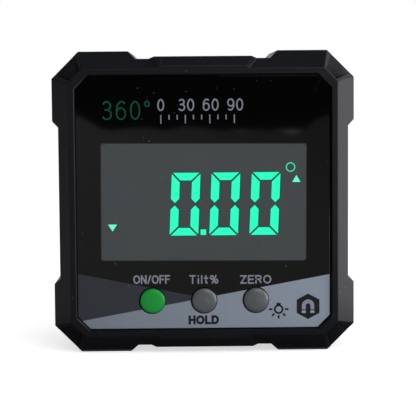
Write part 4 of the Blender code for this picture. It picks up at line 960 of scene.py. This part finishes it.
# Two signs are printed at the right of the light field: a lamp for the display's light, and a magnet in a
# dark hexagon for the magnets in the feet.
LAMP_MIDDLE = (14.94, -21.66)
LAMP_OUTER = 0.97
LAMP_INNER = 0.60
RAY_HALF = 0.19
RAYS = ((0, 1.25, 1.95), (180, 1.25, 1.95), (225, 1.25, 1.90), (270, 1.22, 1.88), (315, 1.25, 1.90))
NECK = ((-0.43, 0.86), (0.43, 1.30))
HEXAGON_MIDDLE = (20.89, -21.12)
HEXAGON = ((0, 2.60), (-2.30, 1.36), (-2.30, -1.36), (0, -2.60), (2.30, -1.36), (2.30, 1.36))
MAGNET_OUTER = 1.25
MAGNET_INNER = 0.47
MAGNET_RISE = 0.14
LEG_END = -0.62
TIP_START = -0.86
TIP_END = -1.36
MAGNET_SIGN_COLOUR = (0.250, 0.268, 0.355)
MAGNET_TIP_COLOUR = (0.340, 0.365, 0.410)


def place_all(points, centre):
    """Points moved to a sign's middle."""
    return [(x + centre[0], z + centre[1]) for x, z in points]


bm = bmesh.new()
add_ring(bm, LAMP_MIDDLE, LAMP_OUTER, LAMP_INNER, 0.0, PRINT_PROUD)
(left, bottom), (right, top) = NECK
neck = [(right, top), (left, top), (left, bottom), (right, bottom)]
add_plate(bm, place_all(neck, LAMP_MIDDLE), 0.0, PRINT_PROUD)
for degrees, near, far in RAYS:
    ray = turned([(near, RAY_HALF), (near, -RAY_HALF), (far, -RAY_HALF), (far, RAY_HALF)], degrees)
    add_plate(bm, place_all(ray, LAMP_MIDDLE), 0.0, PRINT_PROUD)
carried(bm, "lamp_sign", dark_finish)

bm = bmesh.new()
add_plate(bm, place_all(HEXAGON, HEXAGON_MIDDLE), 0.0, PRINT_PROUD)
carried(bm, "magnet_sign_field", dark_finish)

ARCH_STEPS = 24
arch = []
for radius, start, end in ((MAGNET_OUTER, 0, 180), (MAGNET_INNER, 180, 0)):
    bow = oval(0, MAGNET_RISE, radius, radius, start, end, ARCH_STEPS)
    arch += [(bow[0][0], LEG_END), *bow, (bow[-1][0], LEG_END)]
bm = bmesh.new()
add_plate(bm, place_all(arch, HEXAGON_MIDDLE), PRINT_PROUD, SECOND_PROUD)
magnet_finish = grained("magnet_sign_print", MAGNET_SIGN_COLOUR, PANEL_GLOSS, depth=0.0, mottle=0.03)
carried(bm, "magnet_sign", magnet_finish)

bm = bmesh.new()
for side in (1, -1):
    outer, inner = side * MAGNET_OUTER, side * MAGNET_INNER
    tip = [(outer, TIP_START), (inner, TIP_START), (inner, TIP_END), (outer, TIP_END)]
    add_plate(bm, place_all(tip, HEXAGON_MIDDLE), PRINT_PROUD, SECOND_PROUD)
tip_finish = grained("magnet_tip_print", MAGNET_TIP_COLOUR, PANEL_GLOSS, depth=0.0, mottle=0.03)
carried(bm, "magnet_sign_tips", tip_finish)


# Each button is one moulded cap with a soft crown, a flange that keeps it behind the shell's wall, and a
# plunger that meets its switch. The left one is green and the others are grey.
GREEN_CAP = (0.0030, 0.310, 0.038)
GREY_CAP = (0.082, 0.096, 0.104)
GREEN_SPECULAR = 0.35
GREY_SPECULAR = 1.0
CAP_ROUGHNESS = 0.38
CROWN = 0.1 * MM
CAP_SLIMMING = 0.03 * MM
CAP_EDGE = 1.7 * MM
CAP_EDGE_SINK = 0.65 * MM
FLANGE_THICKNESS = 0.8 * MM
PLUNGER_RADIUS = 1.2 * MM
WALL_FRONT_TO_FLANGE = 3.8 * MM
CAP_STEPS = 96
CROWN_POINTS = 8
EDGE_POINTS = 10

CAPS = {
    "button_on_off": ("on_off_cap", "green_cap", "green_cap", GREEN_CAP, GREEN_SPECULAR),
    "button_hold": ("hold_cap", "grey_cap", "grey_cap_hold", GREY_CAP, GREY_SPECULAR),
    "button_zero": ("zero_cap", "grey_cap", "grey_cap_zero", GREY_CAP, GREY_SPECULAR),
}
cap_finishes = {}
for node, (body, slot, finish_name, colour, specular) in CAPS.items():
    cap_finishes[node] = grained(finish_name, colour, CAP_ROUGHNESS, specular=specular, mottle=0.04)
    low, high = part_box(node)
    centre = (low + high) / 2
    flange_radius = (high.x - low.x) / 2
    cap_radius = flange_radius - FLANGE_OVERHANG - CAP_SLIMMING
    flange_front = low.y + WALL_FRONT_TO_FLANGE
    crown_radius = cap_radius - CAP_EDGE
    profile = []
    for number in range(CROWN_POINTS):
        share = number / (CROWN_POINTS - 1)
        profile.append((crown_radius * share, low.y + CROWN * share**2))
    for number in range(1, EDGE_POINTS + 1):
        turn = math.pi / 2 * number / EDGE_POINTS
        sink = CROWN + CAP_EDGE_SINK * (1 - math.cos(turn))
        profile.append((crown_radius + CAP_EDGE * math.sin(turn), low.y + sink))
    profile += [
        (cap_radius, flange_front),
        (flange_radius, flange_front),
        (flange_radius, flange_front + FLANGE_THICKNESS),
        (PLUNGER_RADIUS, flange_front + FLANGE_THICKNESS),
        (PLUNGER_RADIUS, high.y),
        (0, high.y),
    ]
    bm = bmesh.new()
    verts = [bm.verts.new((centre.x + radius, y, centre.z)) for radius, y in profile]
    edges = [bm.edges.new(pair) for pair in zip(verts, verts[1:])]
    bmesh.ops.spin(bm, geom=verts + edges, cent=(centre.x, 0, centre.z), axis=(0, 1, 0), angle=2 * math.pi,
                   steps=CAP_STEPS, use_merge=True)
    bmesh.ops.remove_doubles(bm, verts=bm.verts, dist=CUT_REACH)
    carried(bm, node + "_cap", cap_finishes[node], body=body, replaced=[node])


# What the housing holds keeps its solid from the construction and gets its own finish, each given by its
# colour and roughness: the display stack, the board with its parts, the seals, the screws, the cells with
# their contacts, and the magnets.
NODE_FINISHES = (
    (grained("segment_glass_edge", (0.06, 0.065, 0.068), 0.06, depth=0.0), ("lcd_glass",)),
    (grained("white_plastic", (0.62, 0.62, 0.60), 0.42), ("lcd_holder", "backlight_led")),
    (grained("clear_plastic", (0.55, 0.62, 0.60), 0.10, depth=0.0), ("light_guide",)),
    (grained("silicone", (0.020, 0.020, 0.022), 0.60, grain=0.4 * MM, depth=0.004 * MM),
     ("contact_strip", "button_seal", "case_seal", "door_seal")),
    (grained("solder_mask", (0.006, 0.080, 0.028), 0.28, grain=0.5 * MM), ("main_board",)),
    (grained("moulded_chip", (0.012, 0.012, 0.012), 0.50),
     ("switch_on_off", "switch_hold", "switch_zero", "control_chip", "tilt_sensor")),
    (grained("plated_screw", (0.56, 0.56, 0.58), 0.28, metallic=1.0, grain=0.3 * MM),
     ("board_screw_1", "board_screw_2", "board_screw_3", "board_screw_4", "case_screw_1", "case_screw_2",
      "case_screw_3", "case_screw_4", "door_screw", "spring_upper", "spring_lower")),
    (grained("contact_nickel", (0.60, 0.57, 0.50), 0.25, metallic=1.0, grain=0.3 * MM),
     ("link_plate", "positive_plate", "negative_plate")),
    (grained("magnet_nickel", (0.62, 0.62, 0.63), 0.20, metallic=1.0, grain=0.5 * MM),
     ("magnet_1", "magnet_2", "magnet_3", "magnet_4")),
    (grained("cell_sleeve", (0.022, 0.022, 0.025), 0.25), ("cell_upper", "cell_lower")),
    (grained("red_sleeve", (0.30, 0.010, 0.010), 0.45), ("lead_positive",)),
    (grained("black_sleeve", (0.010, 0.010, 0.010), 0.45), ("lead_negative",)),
    (housing_finish, ("front_shell", "rear_shell", "battery_door")),
    (black_finish, ("front_panel",)),
    (cap_finishes["button_on_off"], ("button_on_off",)),
    (cap_finishes["button_hold"], ("button_hold", "button_zero")),
)
for finish, nodes in NODE_FINISHES:
    for node in nodes:
        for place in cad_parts[node].material_slots:
            place.material = finish

low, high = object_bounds()
